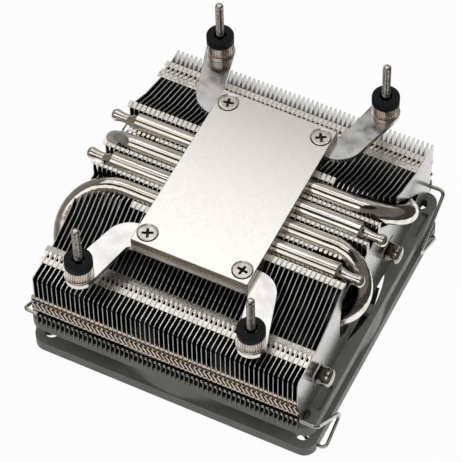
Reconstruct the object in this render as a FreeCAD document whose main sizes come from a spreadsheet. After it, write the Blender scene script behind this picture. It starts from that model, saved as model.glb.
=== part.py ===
import FreeCAD, Part

import math
import os

import Sketcher
from FreeCAD import Placement, Rotation, Vector

# Low-profile processor cooler with a top-flow fan, lying on its fan.
# The origin is the centre of the base plate's contact face, and +Z points out of that face.
# X runs along the heat pipes, Y along the fins. Every size below is in millimetres.

doc = FreeCAD.newDocument("ProcessorCooler")

SIZES = [
    ("plate_width", 37.0, "base plate along X"),
    ("plate_length", 60.0, "base plate along Y"),
    ("plate_thickness", 3.0, "base plate over the brackets"),
    ("seat_length", 39.0, "thicker middle of the base plate, along Y"),
    ("seat_drop", 1.4, "how far that middle stands below the plate"),
    ("sheet_thickness", 1.6, "mounting bracket sheet"),
    ("screw_pitch_x", 30.0, "countersunk screws, along X"),
    ("screw_pitch_y", 52.0, "countersunk screws, along Y"),
    ("screw_head_radius", 3.2, "countersunk head"),
    ("screw_radius", 1.5, "M3 shank"),
    ("stud_pitch_x", 54.0, "mounting studs, along X"),
    ("stud_pitch_y", 90.0, "mounting studs, along Y"),
    ("stud_radius", 1.5, "M3 stud"),
    ("stud_neck_radius", 1.2, "plain neck of the stud, in its nut"),
    ("stud_top", 17.9, "stud tip above the contact face"),
    ("nut_radius", 4.15, "knurled nut and rubber washer"),
    ("arm_end_radius", 4.4, "round ends of the bracket arms"),
    ("nut_height", 4.8, "knurled nut"),
    ("washer_height", 2.4, "rubber washer"),
    ("thread_gap", 0.05, "play of a screw or stud in its hole"),
    ("pipe_radius", 3.0, "heat pipe"),
    ("solder_gap", 0.05, "solder film round a heat pipe"),
    ("pipe_axis_depth", 5.75, "upper pipe runs below the contact face"),
    ("pipe_low_depth", 26.0, "lower pipe runs below the contact face"),
    ("pipe_pitch", 7.8, "spacing of the upper pipe runs"),
    ("outer_low_y", 33.0, "lower run of the outer pipes, from the middle"),
    ("inner_low_y", 14.5, "lower run of the inner pipes, from the middle"),
    ("bend_reach", 44.5, "axis of a pipe bend at its furthest, along X"),
    ("pipe_end_x", 46.3, "tips of both runs, along X"),
    ("nose_length", 7.0, "drawn-down nose of a pipe"),
    ("nose_radius", 2.1, "drawn-down nose of a pipe"),
    ("fin_pitch", 1.5, "from one fin to the next"),
    ("fin_thickness", 0.4, "fin sheet"),
    ("middle_fins", 39, "fins that only straight runs pass"),
    ("end_fins", 9, "fins at each end, cut out for the pipe bends"),
    ("fin_base_depth", 36.0, "fan side of the fins below the contact face"),
    ("fin_half_length", 46.5, "widest reach of a fin from the middle"),
    ("fin_top_depth", 4.4, "top of the fins at the pipes"),
    ("shoulder_depth", 12.3, "flat top of the fins towards their ends"),
    ("groove_depth", 8.8, "floor of the pipe grooves in the fins"),
    ("fin_corner", 1.2, "rounded outer corners of the fins"),
    ("wire_radius", 0.65, "fan clip wire"),
    ("clip_free_x", 47.8, "clip wire at its free corner, along X"),
    ("clip_near_x", 47.0, "clip wire at its other corner, close to the frame"),
    ("fan_size", 92.0, "fan frame, square"),
    ("fan_height", 15.0, "fan frame"),
    ("fan_corner", 4.0, "fan frame corner radius"),
    ("fan_hole_pitch", 82.5, "fan mounting holes"),
    ("fan_hole_radius", 2.15, "fan mounting holes"),
    ("flange_thickness", 4.0, "flanges of the fan frame"),
    ("flange_slot_depth", 1.2, "slots in the upper flange, beside the fins"),
    ("throat_radius", 44.2, "inside of the fan barrel"),
    ("barrel_radius", 45.8, "outside of the fan barrel"),
    ("motor_radius", 19.0, "motor base and impeller hub"),
    ("motor_base", 1.6, "motor base plate"),
    ("strut_width", 3.2, "fan struts"),
    ("strut_height", 2.2, "fan struts"),
    ("strut_count", 4, "fan struts"),
    ("boss_radius", 4.0, "bearing boss"),
    ("boss_height", 8.4, "bearing boss"),
    ("bearing_radius", 2.9, "sleeve bearing outside"),
    ("shaft_radius", 1.5, "fan shaft"),
    ("shaft_play", 0.03, "running clearance of the shaft"),
    ("blade_count", 9, "impeller blades"),
    ("blade_tip_radius", 43.2, "impeller blades"),
    ("hub_wall", 1.2, "impeller hub"),
    ("hub_face_depth", 50.4, "open face of the impeller hub below the contact face"),
    ("hub_rim_depth", 38.4, "rim of the impeller hub below the contact face"),
    ("yoke_wall", 0.8, "steel yoke in the hub"),
    ("magnet_wall", 1.6, "magnet ring"),
    ("pole_count", 4, "stator poles"),
]

sheet = doc.addObject("Spreadsheet::Sheet", "Sizes")
for row, (alias, value, note) in enumerate(SIZES, start=1):
    sheet.set(f"A{row}", note)
    sheet.set(f"B{row}", str(value))
    sheet.setAlias(f"B{row}", alias)
doc.recompute()


def size(alias):
    return float(sheet.get(alias))


# ---------------------------------------------------------------- shared helpers

pieces = []


def new_body(label, kept=True):
    body = doc.addObject("PartDesign::Body", label)
    body.Label = label
    if kept:
        pieces.append(body)
    return body


def role(body, name):
    return next(item for item in body.Origin.OriginFeatures if item.Role == name)


def new_sketch(body, label, plane="XY_Plane", lift=None):
    """A sketch on one of the body's own planes, lifted along its normal by an expression."""
    drawn = body.newObject("Sketcher::SketchObject", label)
    drawn.AttachmentSupport = (role(body, plane), [""])
    drawn.MapMode = "FlatFace"
    if lift:
        drawn.setExpression(".AttachmentOffset.Base.z", lift)
    return drawn


def draw_rectangle(drawn, width, length):
    """A centred rectangle whose two sizes are expressions."""
    corners = [(-1, -1), (1, -1), (1, 1), (-1, 1)]
    first = drawn.GeometryCount
    for start, end in zip(corners, corners[1:] + corners[:1]):
        drawn.addGeometry(Part.LineSegment(Vector(*start, 0), Vector(*end, 0)), False)
    rule = Sketcher.Constraint
    for side in range(4):
        drawn.addConstraint(rule("Coincident", first + side, 2, first + (side + 1) % 4, 1))
    for side in (0, 2):
        drawn.addConstraint(rule("Horizontal", first + side))
        drawn.addConstraint(rule("Vertical", first + side + 1))
    drawn.addConstraint(rule("Symmetric", first, 1, first + 2, 1, -1, 1))
    across = drawn.addConstraint(rule("DistanceX", first, 1, first, 2, 2.0))
    along = drawn.addConstraint(rule("DistanceY", first + 1, 1, first + 1, 2, 2.0))
    drawn.setExpression(f"Constraints[{across}]", width)
    drawn.setExpression(f"Constraints[{along}]", length)


def draw_circle(drawn, radius, x="0", y="0"):
    """A circle whose radius and centre are expressions."""
    rule = Sketcher.Constraint
    ring = drawn.addGeometry(Part.Circle(Vector(1, 1, 0), Vector(0, 0, 1), 1.0), False)
    for kind, place in (("DistanceX", x), ("DistanceY", y)):
        fixed = drawn.addConstraint(rule(kind, -1, 1, ring, 3, 1.0))
        drawn.setExpression(f"Constraints[{fixed}]", place)
    bound = drawn.addConstraint(rule("Radius", ring, 1.0))
    drawn.setExpression(f"Constraints[{bound}]", radius)


def rounded_corner(before, corner, after, radius):
    """Where an arc of this radius leaves and joins the two runs at a corner, and its middle."""
    back = (before - corner).normalize()
    ahead = (after - corner).normalize()
    half = back.getAngle(ahead) / 2
    leave = corner + back * (radius / math.tan(half))
    join = corner + ahead * (radius / math.tan(half))
    bisector = (back + ahead).normalize()
    middle = corner + bisector * (radius / math.sin(half) - radius)
    return leave, middle, join


def rounded_path(points, closed):
    """Straight runs through the points (x, y, z, corner radius), joined by tangent arcs."""
    spots = [Vector(*point[:3]) for point in points]
    radii = [point[3] for point in points]
    count = len(points)
    ends = []
    for index in range(count):
        inner = closed or 0 < index < count - 1
        if radii[index] and inner:
            before = spots[index - 1]
            after = spots[(index + 1) % count]
            ends.append(rounded_corner(before, spots[index], after, radii[index]))
        else:
            ends.append((spots[index], None, spots[index]))
    path = []
    for index in range(count):
        leave, middle, join = ends[index]
        if middle:
            path.append(Part.Arc(leave, middle, join))
        if index < count - 1 or closed:
            path.append(Part.LineSegment(join, ends[(index + 1) % count][0]))
    return path


def draw_outline(drawn, corners):
    """A closed outline through corners (x, y) or (x, y, radius)."""
    points = []
    for corner in corners:
        radius = corner[2] if len(corner) > 2 else 0
        points.append((corner[0], corner[1], 0, radius))
    drawn.addGeometry(rounded_path(points, True), False)


def mirrored(half):
    """A half outline on the positive side, followed by its mirror image."""
    other = [(-corner[0],) + tuple(corner[1:]) for corner in reversed(half)]
    return half + other


def extrude(body, kind, drawn, label, length=None, upwards=True):
    """A pad or pocket of the sketch. A pocket with no length goes right through."""
    feature = body.newObject(f"PartDesign::{kind}", label)
    feature.Profile = drawn
    if length:
        feature.setExpression("Length", length)
    else:
        feature.Type = "ThroughAll"
    feature.Reversed = upwards if kind == "Pocket" else not upwards
    drawn.Visibility = False
    return feature


def turn(body, kind, drawn, label):
    """A revolution or groove of the sketch about its own vertical axis."""
    feature = body.newObject(f"PartDesign::{kind}", label)
    feature.Profile = drawn
    feature.ReferenceAxis = (drawn, ["V_Axis"])
    feature.Angle = 360
    return feature


def copies(body, kind, originals, label, axis, count):
    """A polar or linear pattern, which becomes the body's tip."""
    feature = body.newObject(f"PartDesign::{kind}", label)
    feature.Originals = originals
    if kind == "PolarPattern":
        feature.Axis = (role(body, axis), [""])
        feature.Angle = 360
    else:
        feature.Direction = (role(body, axis), [""])
    feature.setExpression("Occurrences", count)
    body.Tip = feature
    return feature


def turned_body(label, profile):
    """A body of revolution about Z, from an outline of (radius, height) corners."""
    body = new_body(label)
    drawn = new_sketch(body, f"{label}_profile", "XZ_Plane")
    draw_outline(drawn, profile)
    turn(body, "Revolution", drawn, f"{label}_turned")
    return body


# ---------------------------------------------------------------- base plate
# A milled and nickel-plated block. Its thicker middle is grooved for the four heat pipes.

plate_low = size("plate_thickness")
sheet_low = plate_low + size("sheet_thickness")

base_plate = new_body("base_plate")
face = new_sketch(base_plate, "plate_face")
draw_rectangle(face, "Sizes.plate_width", "Sizes.plate_length")
extrude(base_plate, "Pad", face, "plate", "Sizes.plate_thickness", upwards=False)
seat_face = new_sketch(base_plate, "seat_face", lift="-Sizes.plate_thickness")
draw_rectangle(seat_face, "Sizes.plate_width", "Sizes.seat_length")
extrude(base_plate, "Pad", seat_face, "seat", "Sizes.seat_drop", upwards=False)

grooves = new_sketch(base_plate, "pipe_grooves", "YZ_Plane", "Sizes.plate_width / 2")
for step in (-1.5, -0.5, 0.5, 1.5):
    draw_circle(
        grooves,
        "Sizes.pipe_radius + Sizes.solder_gap",
        f"{step} * Sizes.pipe_pitch",
        "-Sizes.pipe_axis_depth",
    )
extrude(base_plate, "Pocket", grooves, "grooved", upwards=False)

SIDES = [(-1, -1), (1, -1), (1, 1), (-1, 1)]
CORNER_NAMES = ["front_left", "front_right", "back_right", "back_left"]

shank_holes = new_sketch(base_plate, "screw_holes")
for side_x, side_y in SIDES:
    draw_circle(
        shank_holes,
        "Sizes.screw_radius + Sizes.thread_gap",
        f"{side_x} * Sizes.screw_pitch_x / 2",
        f"{side_y} * Sizes.screw_pitch_y / 2",
    )
doc.recompute()
sunk = base_plate.newObject("PartDesign::Hole", "screw_sinks")
sunk.Profile = shank_holes
sunk.ThreadType = "None"
sunk.DepthType = "ThroughAll"
sunk.HoleCutType = "Countersink"
sunk.HoleCutCustomValues = True
sunk.setExpression("Diameter", "2 * (Sizes.screw_radius + Sizes.thread_gap)")
sunk.setExpression("HoleCutDiameter", "2 * (Sizes.screw_head_radius + Sizes.thread_gap)")
sunk.HoleCutCountersinkAngle = 90

# ---------------------------------------------------------------- mounting brackets
# Stamped steel sheets under the two ends of the plate. Their curved arms carry the studs.

ring_radius = size("arm_end_radius")
stud_x = size("stud_pitch_x") / 2
stud_y = size("stud_pitch_y") / 2
strip_inner_y = 22.3
strip_outer_y = size("plate_length") / 2 + 0.4
arm_outer_corner = Vector(24.9, -strip_inner_y, 0)
arm_inner_corner = Vector(19.1, -strip_outer_y, 0)
ring_centre = Vector(stud_x, -stud_y, 0)


def tangent_point(outside, centre, radius, side):
    """Where a line from a point touches a circle. The side is 1 or -1."""
    reach = centre - outside
    lean = math.asin(radius / reach.Length)
    run = math.sqrt(reach.Length ** 2 - radius ** 2)
    heading = math.atan2(reach.y, reach.x) + side * lean
    return outside + Vector(math.cos(heading), math.sin(heading), 0) * run


arm_outer_end = tangent_point(arm_outer_corner, ring_centre, ring_radius, 1)
arm_inner_end = tangent_point(arm_inner_corner, ring_centre, ring_radius, -1)
ARM = [
    (arm_outer_corner.x, arm_outer_corner.y, 8.0),
    (arm_outer_end.x, arm_outer_end.y),
    (arm_inner_end.x, arm_inner_end.y),
    (arm_inner_corner.x, arm_inner_corner.y, 2.0),
]


def mounting_bracket(label, half_turn):
    body = new_body(label)
    outline = new_sketch(body, f"{label}_outline", lift="-Sizes.plate_thickness")
    draw_outline(outline, mirrored(ARM))
    extrude(body, "Pad", outline, f"{label}_sheet", "Sizes.sheet_thickness", upwards=False)
    rings = new_sketch(body, f"{label}_rings", lift="-Sizes.plate_thickness")
    holes = new_sketch(body, f"{label}_holes", lift="-Sizes.plate_thickness")
    for side in (-1, 1):
        x = f"{side} * Sizes.stud_pitch_x / 2"
        y = "-Sizes.stud_pitch_y / 2"
        draw_circle(rings, "Sizes.arm_end_radius", x, y)
        draw_circle(holes, "Sizes.stud_neck_radius + Sizes.thread_gap", x, y)
        draw_circle(
            holes,
            "Sizes.screw_radius + Sizes.thread_gap",
            f"{side} * Sizes.screw_pitch_x / 2",
            "-Sizes.screw_pitch_y / 2",
        )
    extrude(body, "Pad", rings, f"{label}_ends", "Sizes.sheet_thickness", upwards=False)
    extrude(body, "Pocket", holes, f"{label}_drilled", upwards=False)
    body.Placement = Placement(Vector(), Rotation(Vector(0, 0, 1), half_turn))
    return body


mounting_bracket("bracket_front", 0)
mounting_bracket("bracket_back", 180)

# ---------------------------------------------------------------- base screws
# Countersunk cross-head screws that pull the brackets up against the plate.

head_radius = size("screw_head_radius")
shank_radius = size("screw_radius")
head_depth = head_radius - shank_radius
recess_reach = 1.7
recess_half_width = 0.4
SCREW_PROFILE = [
    (0, 0),
    (head_radius, 0),
    (shank_radius, -head_depth),
    (shank_radius, -sheet_low),
    (0, -sheet_low),
]
RECESS_QUARTER = [
    (recess_reach, -recess_half_width),
    (recess_reach, recess_half_width),
    (recess_half_width, recess_half_width),
]


def quarter_turns(quarter):
    """An outline of four like quarters about the origin."""
    outline = []
    for step in range(4):
        for x, y in quarter:
            for _ in range(step):
                x, y = -y, x
            outline.append((x, y))
    return outline


SCREW_TURNS = [24, -9, 31, 12]
for (side_x, side_y), name, degrees in zip(SIDES, CORNER_NAMES, SCREW_TURNS):
    screw = turned_body(f"base_screw_{name}", SCREW_PROFILE)
    recess = new_sketch(screw, f"recess_{name}")
    draw_outline(recess, quarter_turns(RECESS_QUARTER))
    extrude(screw, "Pocket", recess, f"cross_{name}", "Sizes.screw_head_radius / 3", False)
    at = Vector(side_x * size("screw_pitch_x") / 2, side_y * size("screw_pitch_y") / 2, 0)
    screw.Placement = Placement(at, Rotation(Vector(0, 0, 1), degrees))

# ---------------------------------------------------------------- studs, nuts and washers
# A stud passes up through the arm's end, a knurled nut clamps it there, and a rubber washer
# on the nut keeps the metal off the circuit board.

stud_radius = size("stud_radius")
neck_radius = size("stud_neck_radius")
nut_bore = neck_radius + size("thread_gap")
nut_radius = size("nut_radius")
nut_top = size("nut_height") - plate_low
washer_top = nut_top + size("washer_height")
stud_top = size("stud_top")
STUD_PROFILE = [
    (0, -sheet_low - 1.0),
    (2.6, -sheet_low - 1.0, 0.4),
    (2.6, -sheet_low),
    (neck_radius, -sheet_low),
    (neck_radius, washer_top + 0.2),
    (stud_radius, washer_top + 0.2),
    (stud_radius, stud_top - 0.5),
    (stud_radius - 0.5, stud_top),
    (0, stud_top),
]
NUT_PROFILE = [
    (nut_bore, -plate_low),
    (nut_radius - 0.3, -plate_low),
    (nut_radius, 0.4 - plate_low),
    (nut_radius, nut_top - 0.2),
    (nut_radius - 0.2, nut_top),
    (nut_bore, nut_top),
]
WASHER_PROFILE = [
    (stud_radius + 0.4, nut_top),
    (nut_radius, nut_top),
    (nut_radius, washer_top, 0.4),
    (stud_radius + 0.4, washer_top),
]
for (side_x, side_y), name in zip(SIDES, CORNER_NAMES):
    at = Vector(side_x * stud_x, side_y * stud_y, 0)
    for kind, profile in (
        ("stud", STUD_PROFILE),
        ("knurled_nut", NUT_PROFILE),
        ("rubber_washer", WASHER_PROFILE),
    ):
        turned_body(f"{kind}_{name}", profile).Placement = Placement(at, Rotation())

# ---------------------------------------------------------------- heat pipes
# Each pipe is a U lying in a tilted plane. It is drawn flat here: the upper run along X, then
# the half-round bend at +X, then the lower run back. The Placement tilts it into the cooler.

pipe_radius = size("pipe_radius")
nose_radius = size("nose_radius")
pipe_end_x = size("pipe_end_x")
nose_start_x = size("nose_length") - pipe_end_x
axis_z = -size("pipe_axis_depth")
low_z = -size("pipe_low_depth")
taper_length = 1.3
NOSE_PROFILE = [
    (nose_start_x, 0),
    (nose_start_x, pipe_radius),
    (nose_start_x - taper_length, nose_radius),
    (-pipe_end_x, nose_radius, 1.4),
    (-pipe_end_x, 0),
]
END_PROFILE = [
    (pipe_radius - pipe_end_x, 0),
    (pipe_radius - pipe_end_x, pipe_radius),
    (-pipe_end_x, pipe_radius, 1.8),
    (-pipe_end_x, 0),
]


def heat_pipe(label, upper_y, lower_y, half_turn):
    drop = Vector(0, lower_y - upper_y, low_z - axis_z)
    bend = drop.Length / 2
    centre_x = size("bend_reach") - bend
    body = new_body(label)
    spine = new_sketch(body, f"{label}_spine")
    low_start = pipe_radius - pipe_end_x
    spine.addGeometry(
        [
            Part.LineSegment(Vector(nose_start_x, 0, 0), Vector(centre_x, 0, 0)),
            Part.Arc(
                Vector(centre_x, 0, 0),
                Vector(centre_x + bend, -bend, 0),
                Vector(centre_x, -2 * bend, 0),
            ),
            Part.LineSegment(Vector(centre_x, -2 * bend, 0), Vector(low_start, -2 * bend, 0)),
        ],
        False,
    )
    section = new_sketch(body, f"{label}_section", "YZ_Plane", "Sizes.nose_length - Sizes.pipe_end_x")
    draw_circle(section, "Sizes.pipe_radius")
    swept = body.newObject("PartDesign::AdditivePipe", f"{label}_bent")
    swept.Profile = section
    swept.Spine = (spine, ["Edge1", "Edge2", "Edge3"])
    for part_name, profile, shift in (("nose", NOSE_PROFILE, 0), ("end", END_PROFILE, -2 * bend)):
        drawn = new_sketch(body, f"{label}_{part_name}_profile")
        draw_outline(drawn, profile)
        drawn.AttachmentOffset = Placement(Vector(0, shift, 0), Rotation())
        formed = body.newObject("PartDesign::Revolution", f"{label}_{part_name}")
        formed.Profile = drawn
        formed.ReferenceAxis = (drawn, ["H_Axis"])
        formed.Angle = 360
    tilt = math.degrees(math.atan2(-drop.z, -drop.y))
    laid = Placement(Vector(0, upper_y, axis_z), Rotation(Vector(1, 0, 0), tilt))
    body.Placement = Placement(Vector(), Rotation(Vector(0, 0, 1), half_turn)).multiply(laid)
    return body


pitch = size("pipe_pitch")
heat_pipe("heatpipe_1", 1.5 * pitch, size("outer_low_y"), 0)
heat_pipe("heatpipe_2", -0.5 * pitch, -size("inner_low_y"), 180)
heat_pipe("heatpipe_3", -0.5 * pitch, -size("inner_low_y"), 0)
heat_pipe("heatpipe_4", 1.5 * pitch, size("outer_low_y"), 180)

# ---------------------------------------------------------------- fins
# Thin aluminium sheets stacked along X. Each is grooved for the upper pipe runs, pierced for
# the lower runs, stepped down under the bracket arms and notched for the fan clips.

fin_low = -size("fin_base_depth")
fin_top = -size("fin_top_depth")
shoulder = -size("shoulder_depth")
groove_floor = -size("groove_depth")
fin_reach = size("fin_half_length")
groove_half = pipe_radius + size("solder_gap")
clip_seat_y = 45.2
clip_ledge_z = fin_low + 3.0
FIN_FLANK = [
    (fin_reach - 0.3, fin_low),
    (fin_reach - 0.3, clip_ledge_z),
    (clip_seat_y, clip_ledge_z),
    (clip_seat_y, -21.4),
    (fin_reach, shoulder, size("fin_corner")),
    (35.0, shoulder),
    (24.5, -8.7),
    (16.5, fin_top),
]


def groove(axis_y):
    """The four corners of one pipe groove, from its outer to its inner side."""
    return [
        (axis_y + groove_half, fin_top),
        (axis_y + groove_half, groove_floor),
        (axis_y - groove_half, groove_floor),
        (axis_y - groove_half, fin_top),
    ]


def draw_pipe_window(drawn, y):
    """A square window for a lower pipe run."""
    reach = groove_half
    corners = [(y - reach, low_z - reach), (y + reach, low_z - reach)]
    corners += [(y + reach, low_z + reach), (y - reach, low_z + reach)]
    draw_outline(drawn, corners)


def fin_block(label, outline, windows, count, middle, half_turn):
    """A row of like fins, centred at X = middle."""
    body = new_body(label)
    body.AllowCompound = True
    lift = f"{middle} - ({count} - 1) * Sizes.fin_pitch / 2 - Sizes.fin_thickness / 2"
    drawn = new_sketch(body, f"{label}_outline", "YZ_Plane", lift)
    draw_outline(drawn, outline)
    for y in windows:
        draw_pipe_window(drawn, y)
    sheet_pad = extrude(body, "Pad", drawn, f"{label}_sheet", "Sizes.fin_thickness")
    row = copies(body, "LinearPattern", [sheet_pad], f"{label}_row", "X_Axis", count)
    row.setExpression("Length", f"({count} - 1) * Sizes.fin_pitch")
    body.Placement = Placement(Vector(), Rotation(Vector(0, 0, 1), half_turn))
    return body


low_runs = [size("outer_low_y"), size("inner_low_y"), -size("inner_low_y"), -size("outer_low_y")]
plain_half = FIN_FLANK + groove(1.5 * pitch) + groove(0.5 * pitch)
fin_block("fins_middle", mirrored(plain_half), low_runs, "Sizes.middle_fins", "0", 0)

# Where the bends pass, one tongue between the grooves is left out and slots follow the bends.
wide_groove = [groove(1.5 * pitch)[0], groove(1.5 * pitch)[1], groove(0.5 * pitch)[2]]
open_half = FIN_FLANK + wide_groove + [groove(0.5 * pitch)[3]]
END_OUTLINE = plain_half + mirrored(open_half)[len(open_half):]


def bend_slot(upper_y, lower_y):
    """Corners of the slot that a tilted bend passes through."""
    half_width = pipe_radius + 0.25
    start = Vector(upper_y, axis_z, 0)
    along = (Vector(lower_y, low_z, 0) - start).normalize()
    across = Vector(-along.y, along.x, 0) * half_width
    end = Vector(lower_y, low_z, 0) + along * half_width
    return [(spot.x, spot.y) for spot in (start + across, start - across, end - across, end + across)]


# Beside each inner bend the end fins are cut back further, below the tongue of the next groove.
BEND_RELIEF = [(-9.0, -9.6), (-17.4, -9.6), (-18.6, -18.0), (-18.7, -27.2), (-16.0, -24.0)]

END_MIDDLE = "(Sizes.middle_fins + Sizes.end_fins) * Sizes.fin_pitch / 2"
for label, half_turn in (("fins_right", 0), ("fins_left", 180)):
    windows = [size("inner_low_y"), -size("outer_low_y")]
    block = fin_block(label, END_OUTLINE, windows, "Sizes.end_fins", END_MIDDLE, half_turn)
    slots = new_sketch(block, f"{label}_slots", "YZ_Plane", "Sizes.bend_reach")
    draw_outline(slots, bend_slot(1.5 * pitch, size("outer_low_y")))
    draw_outline(slots, bend_slot(-0.5 * pitch, -size("inner_low_y")))
    extrude(block, "Pocket", slots, f"{label}_slotted", upwards=False)
    relief = new_sketch(block, f"{label}_relief", "YZ_Plane", "Sizes.bend_reach")
    draw_outline(relief, BEND_RELIEF)
    extrude(block, "Pocket", relief, f"{label}_relieved", upwards=False)

# ---------------------------------------------------------------- fan frame
# A moulded frame: two square flanges joined by a round barrel, with struts on the fin side.

fan_top = fin_low
fan_low = fan_top - size("fan_height")
FAN_TOP = "-Sizes.fin_base_depth"

fan_frame = new_body("fan_frame")
half_fan = size("fan_size") / 2
FLANGE = [(half_fan * x, half_fan * y, size("fan_corner")) for x, y in SIDES]
for name, lift in (
    ("upper", FAN_TOP),
    ("lower", f"{FAN_TOP} - Sizes.fan_height + Sizes.flange_thickness"),
):
    square = new_sketch(fan_frame, f"{name}_square", lift=lift)
    draw_outline(square, FLANGE)
    extrude(fan_frame, "Pad", square, f"{name}_flange", "Sizes.flange_thickness", upwards=False)
wall = new_sketch(fan_frame, "barrel_circle", lift=FAN_TOP)
draw_circle(wall, "Sizes.barrel_radius")
extrude(fan_frame, "Pad", wall, "barrel", "Sizes.fan_height", upwards=False)
throat = new_sketch(fan_frame, "throat_circle", lift=FAN_TOP)
draw_circle(throat, "Sizes.throat_radius")
for side_x, side_y in SIDES:
    draw_circle(
        throat,
        "Sizes.fan_hole_radius",
        f"{side_x} * Sizes.fan_hole_pitch / 2",
        f"{side_y} * Sizes.fan_hole_pitch / 2",
    )
extrude(fan_frame, "Pocket", throat, "throat", upwards=False)

# Shallow channels under the lower flange let the clip wires lie flush on their way to the holes.
hole_at = size("fan_hole_pitch") / 2
channels = new_sketch(fan_frame, "channel_outlines", lift=f"{FAN_TOP} - Sizes.fan_height")
for side_x, side_y in SIDES:
    reach = sorted((side_x * hole_at, side_x * (half_fan + 1)))
    width = size("wire_radius") + 0.1
    draw_outline(
        channels,
        [
            (reach[0], side_y * hole_at - width),
            (reach[1], side_y * hole_at - width),
            (reach[1], side_y * hole_at + width),
            (reach[0], side_y * hole_at + width),
        ],
    )
extrude(fan_frame, "Pocket", channels, "channels", "2 * Sizes.wire_radius + 0.2", upwards=True)

# Shallow slots run along the sides of the upper flange, beside the end fins.
slot_lines = new_sketch(fan_frame, "slot_outlines", lift=FAN_TOP)
SLOT_X = (42.8, 45.3)
SLOT_Y = (29.0, 38.6)
slot_corner = 0.8
for side_x, side_y in SIDES:
    inner_x, outer_x = (side_x * x for x in SLOT_X)
    first_y, last_y = (side_y * y for y in SLOT_Y)
    slot = [(inner_x, first_y), (outer_x, first_y), (outer_x, last_y), (inner_x, last_y)]
    draw_outline(slot_lines, [corner + (slot_corner,) for corner in slot])
extrude(fan_frame, "Pocket", slot_lines, "flange_slots", "Sizes.flange_slot_depth", upwards=False)

base_disc = new_sketch(fan_frame, "motor_circle", lift=FAN_TOP)
draw_circle(base_disc, "Sizes.motor_radius")
extrude(fan_frame, "Pad", base_disc, "motor_base", "Sizes.motor_base", upwards=False)
strut_line = new_sketch(fan_frame, "strut_outline", lift=FAN_TOP)
strut_half = size("strut_width") / 2
strut_start = size("motor_radius") - 1
strut_end = size("throat_radius") + 0.5
draw_outline(
    strut_line,
    [
        (strut_start, -strut_half),
        (strut_end, -strut_half),
        (strut_end, strut_half),
        (strut_start, strut_half),
    ],
)
strut = extrude(fan_frame, "Pad", strut_line, "strut", "Sizes.strut_height", upwards=False)
copies(fan_frame, "PolarPattern", [strut], "struts", "Z_Axis", "Sizes.strut_count")

base_low = fan_top - size("motor_base")
boss_low = base_low - size("boss_height")
bearing_top = base_low - 1.6
boss_line = new_sketch(fan_frame, "boss_circle", lift=f"{FAN_TOP} - Sizes.motor_base")
draw_circle(boss_line, "Sizes.boss_radius")
extrude(fan_frame, "Pad", boss_line, "boss", "Sizes.boss_height", upwards=False)
bore_line = new_sketch(fan_frame, "bore_circle", lift=f"{FAN_TOP} - Sizes.motor_base")
draw_circle(bore_line, "Sizes.bearing_radius")
extrude(fan_frame, "Pocket", bore_line, "bearing_seat", "Sizes.boss_height", upwards=False)

# ---------------------------------------------------------------- motor, fixed side
# Pressed on the boss: the stator with its coils, over the circuit board. The sleeve bearing
# sits inside the boss, over a thrust pad.

bearing_radius = size("bearing_radius")
shaft_radius = size("shaft_radius")
pad_low = base_low - 0.4
turned_body(
    "thrust_pad",
    [(0, base_low), (bearing_radius, base_low), (bearing_radius, pad_low), (0, pad_low)],
)
turned_body(
    "bearing_sleeve",
    [
        (shaft_radius + size("shaft_play"), bearing_top),
        (bearing_radius, bearing_top),
        (bearing_radius, boss_low),
        (shaft_radius + size("shaft_play"), boss_low, 0.3),
    ],
)
board_radius = 15.5
board_top = base_low
board_low = board_top - 1.0
turned_body(
    "circuit_board",
    [
        (size("boss_radius") + 0.3, board_top),
        (board_radius, board_top),
        (board_radius, board_low),
        (size("boss_radius") + 0.3, board_low),
    ],
)

core_height = 3.0
core_top = board_low - 1.9
core_low = core_top - core_height
pole_radius = 14.6
pole_half = 1.6
shoe_inner = 13.0
shoe_angle = math.radians(33)
stator_core = new_body("stator_core")
core_ring = new_sketch(stator_core, "core_circles")
core_ring.AttachmentOffset = Placement(Vector(0, 0, core_top), Rotation())
draw_circle(core_ring, "Sizes.boss_radius + 2.6")
draw_circle(core_ring, "Sizes.boss_radius")
extrude(stator_core, "Pad", core_ring, "core_ring", str(core_height), upwards=False)
pole_line = new_sketch(stator_core, "pole_outline")
pole_line.AttachmentOffset = Placement(Vector(0, 0, core_top), Rotation())


def polar(radius, angle):
    return Vector(radius * math.cos(angle), radius * math.sin(angle), 0)


shoe_neck = math.asin(pole_half / shoe_inner)
neck_root = size("boss_radius") + 2.0
POLE = [
    Part.LineSegment(Vector(neck_root, -pole_half, 0), polar(shoe_inner, -shoe_neck)),
    Part.Arc(
        polar(shoe_inner, -shoe_neck),
        polar(shoe_inner, -(shoe_neck + shoe_angle) / 2),
        polar(shoe_inner, -shoe_angle),
    ),
    Part.LineSegment(polar(shoe_inner, -shoe_angle), polar(pole_radius, -shoe_angle)),
    Part.Arc(polar(pole_radius, -shoe_angle), polar(pole_radius, 0), polar(pole_radius, shoe_angle)),
    Part.LineSegment(polar(pole_radius, shoe_angle), polar(shoe_inner, shoe_angle)),
    Part.Arc(
        polar(shoe_inner, shoe_angle),
        polar(shoe_inner, (shoe_neck + shoe_angle) / 2),
        polar(shoe_inner, shoe_neck),
    ),
    Part.LineSegment(polar(shoe_inner, shoe_neck), Vector(neck_root, pole_half, 0)),
    Part.LineSegment(Vector(neck_root, pole_half, 0), Vector(neck_root, -pole_half, 0)),
]
pole_line.addGeometry(POLE, False)
pole = extrude(stator_core, "Pad", pole_line, "pole", str(core_height), upwards=False)
copies(stator_core, "PolarPattern", [pole], "poles", "Z_Axis", "Sizes.pole_count")

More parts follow.
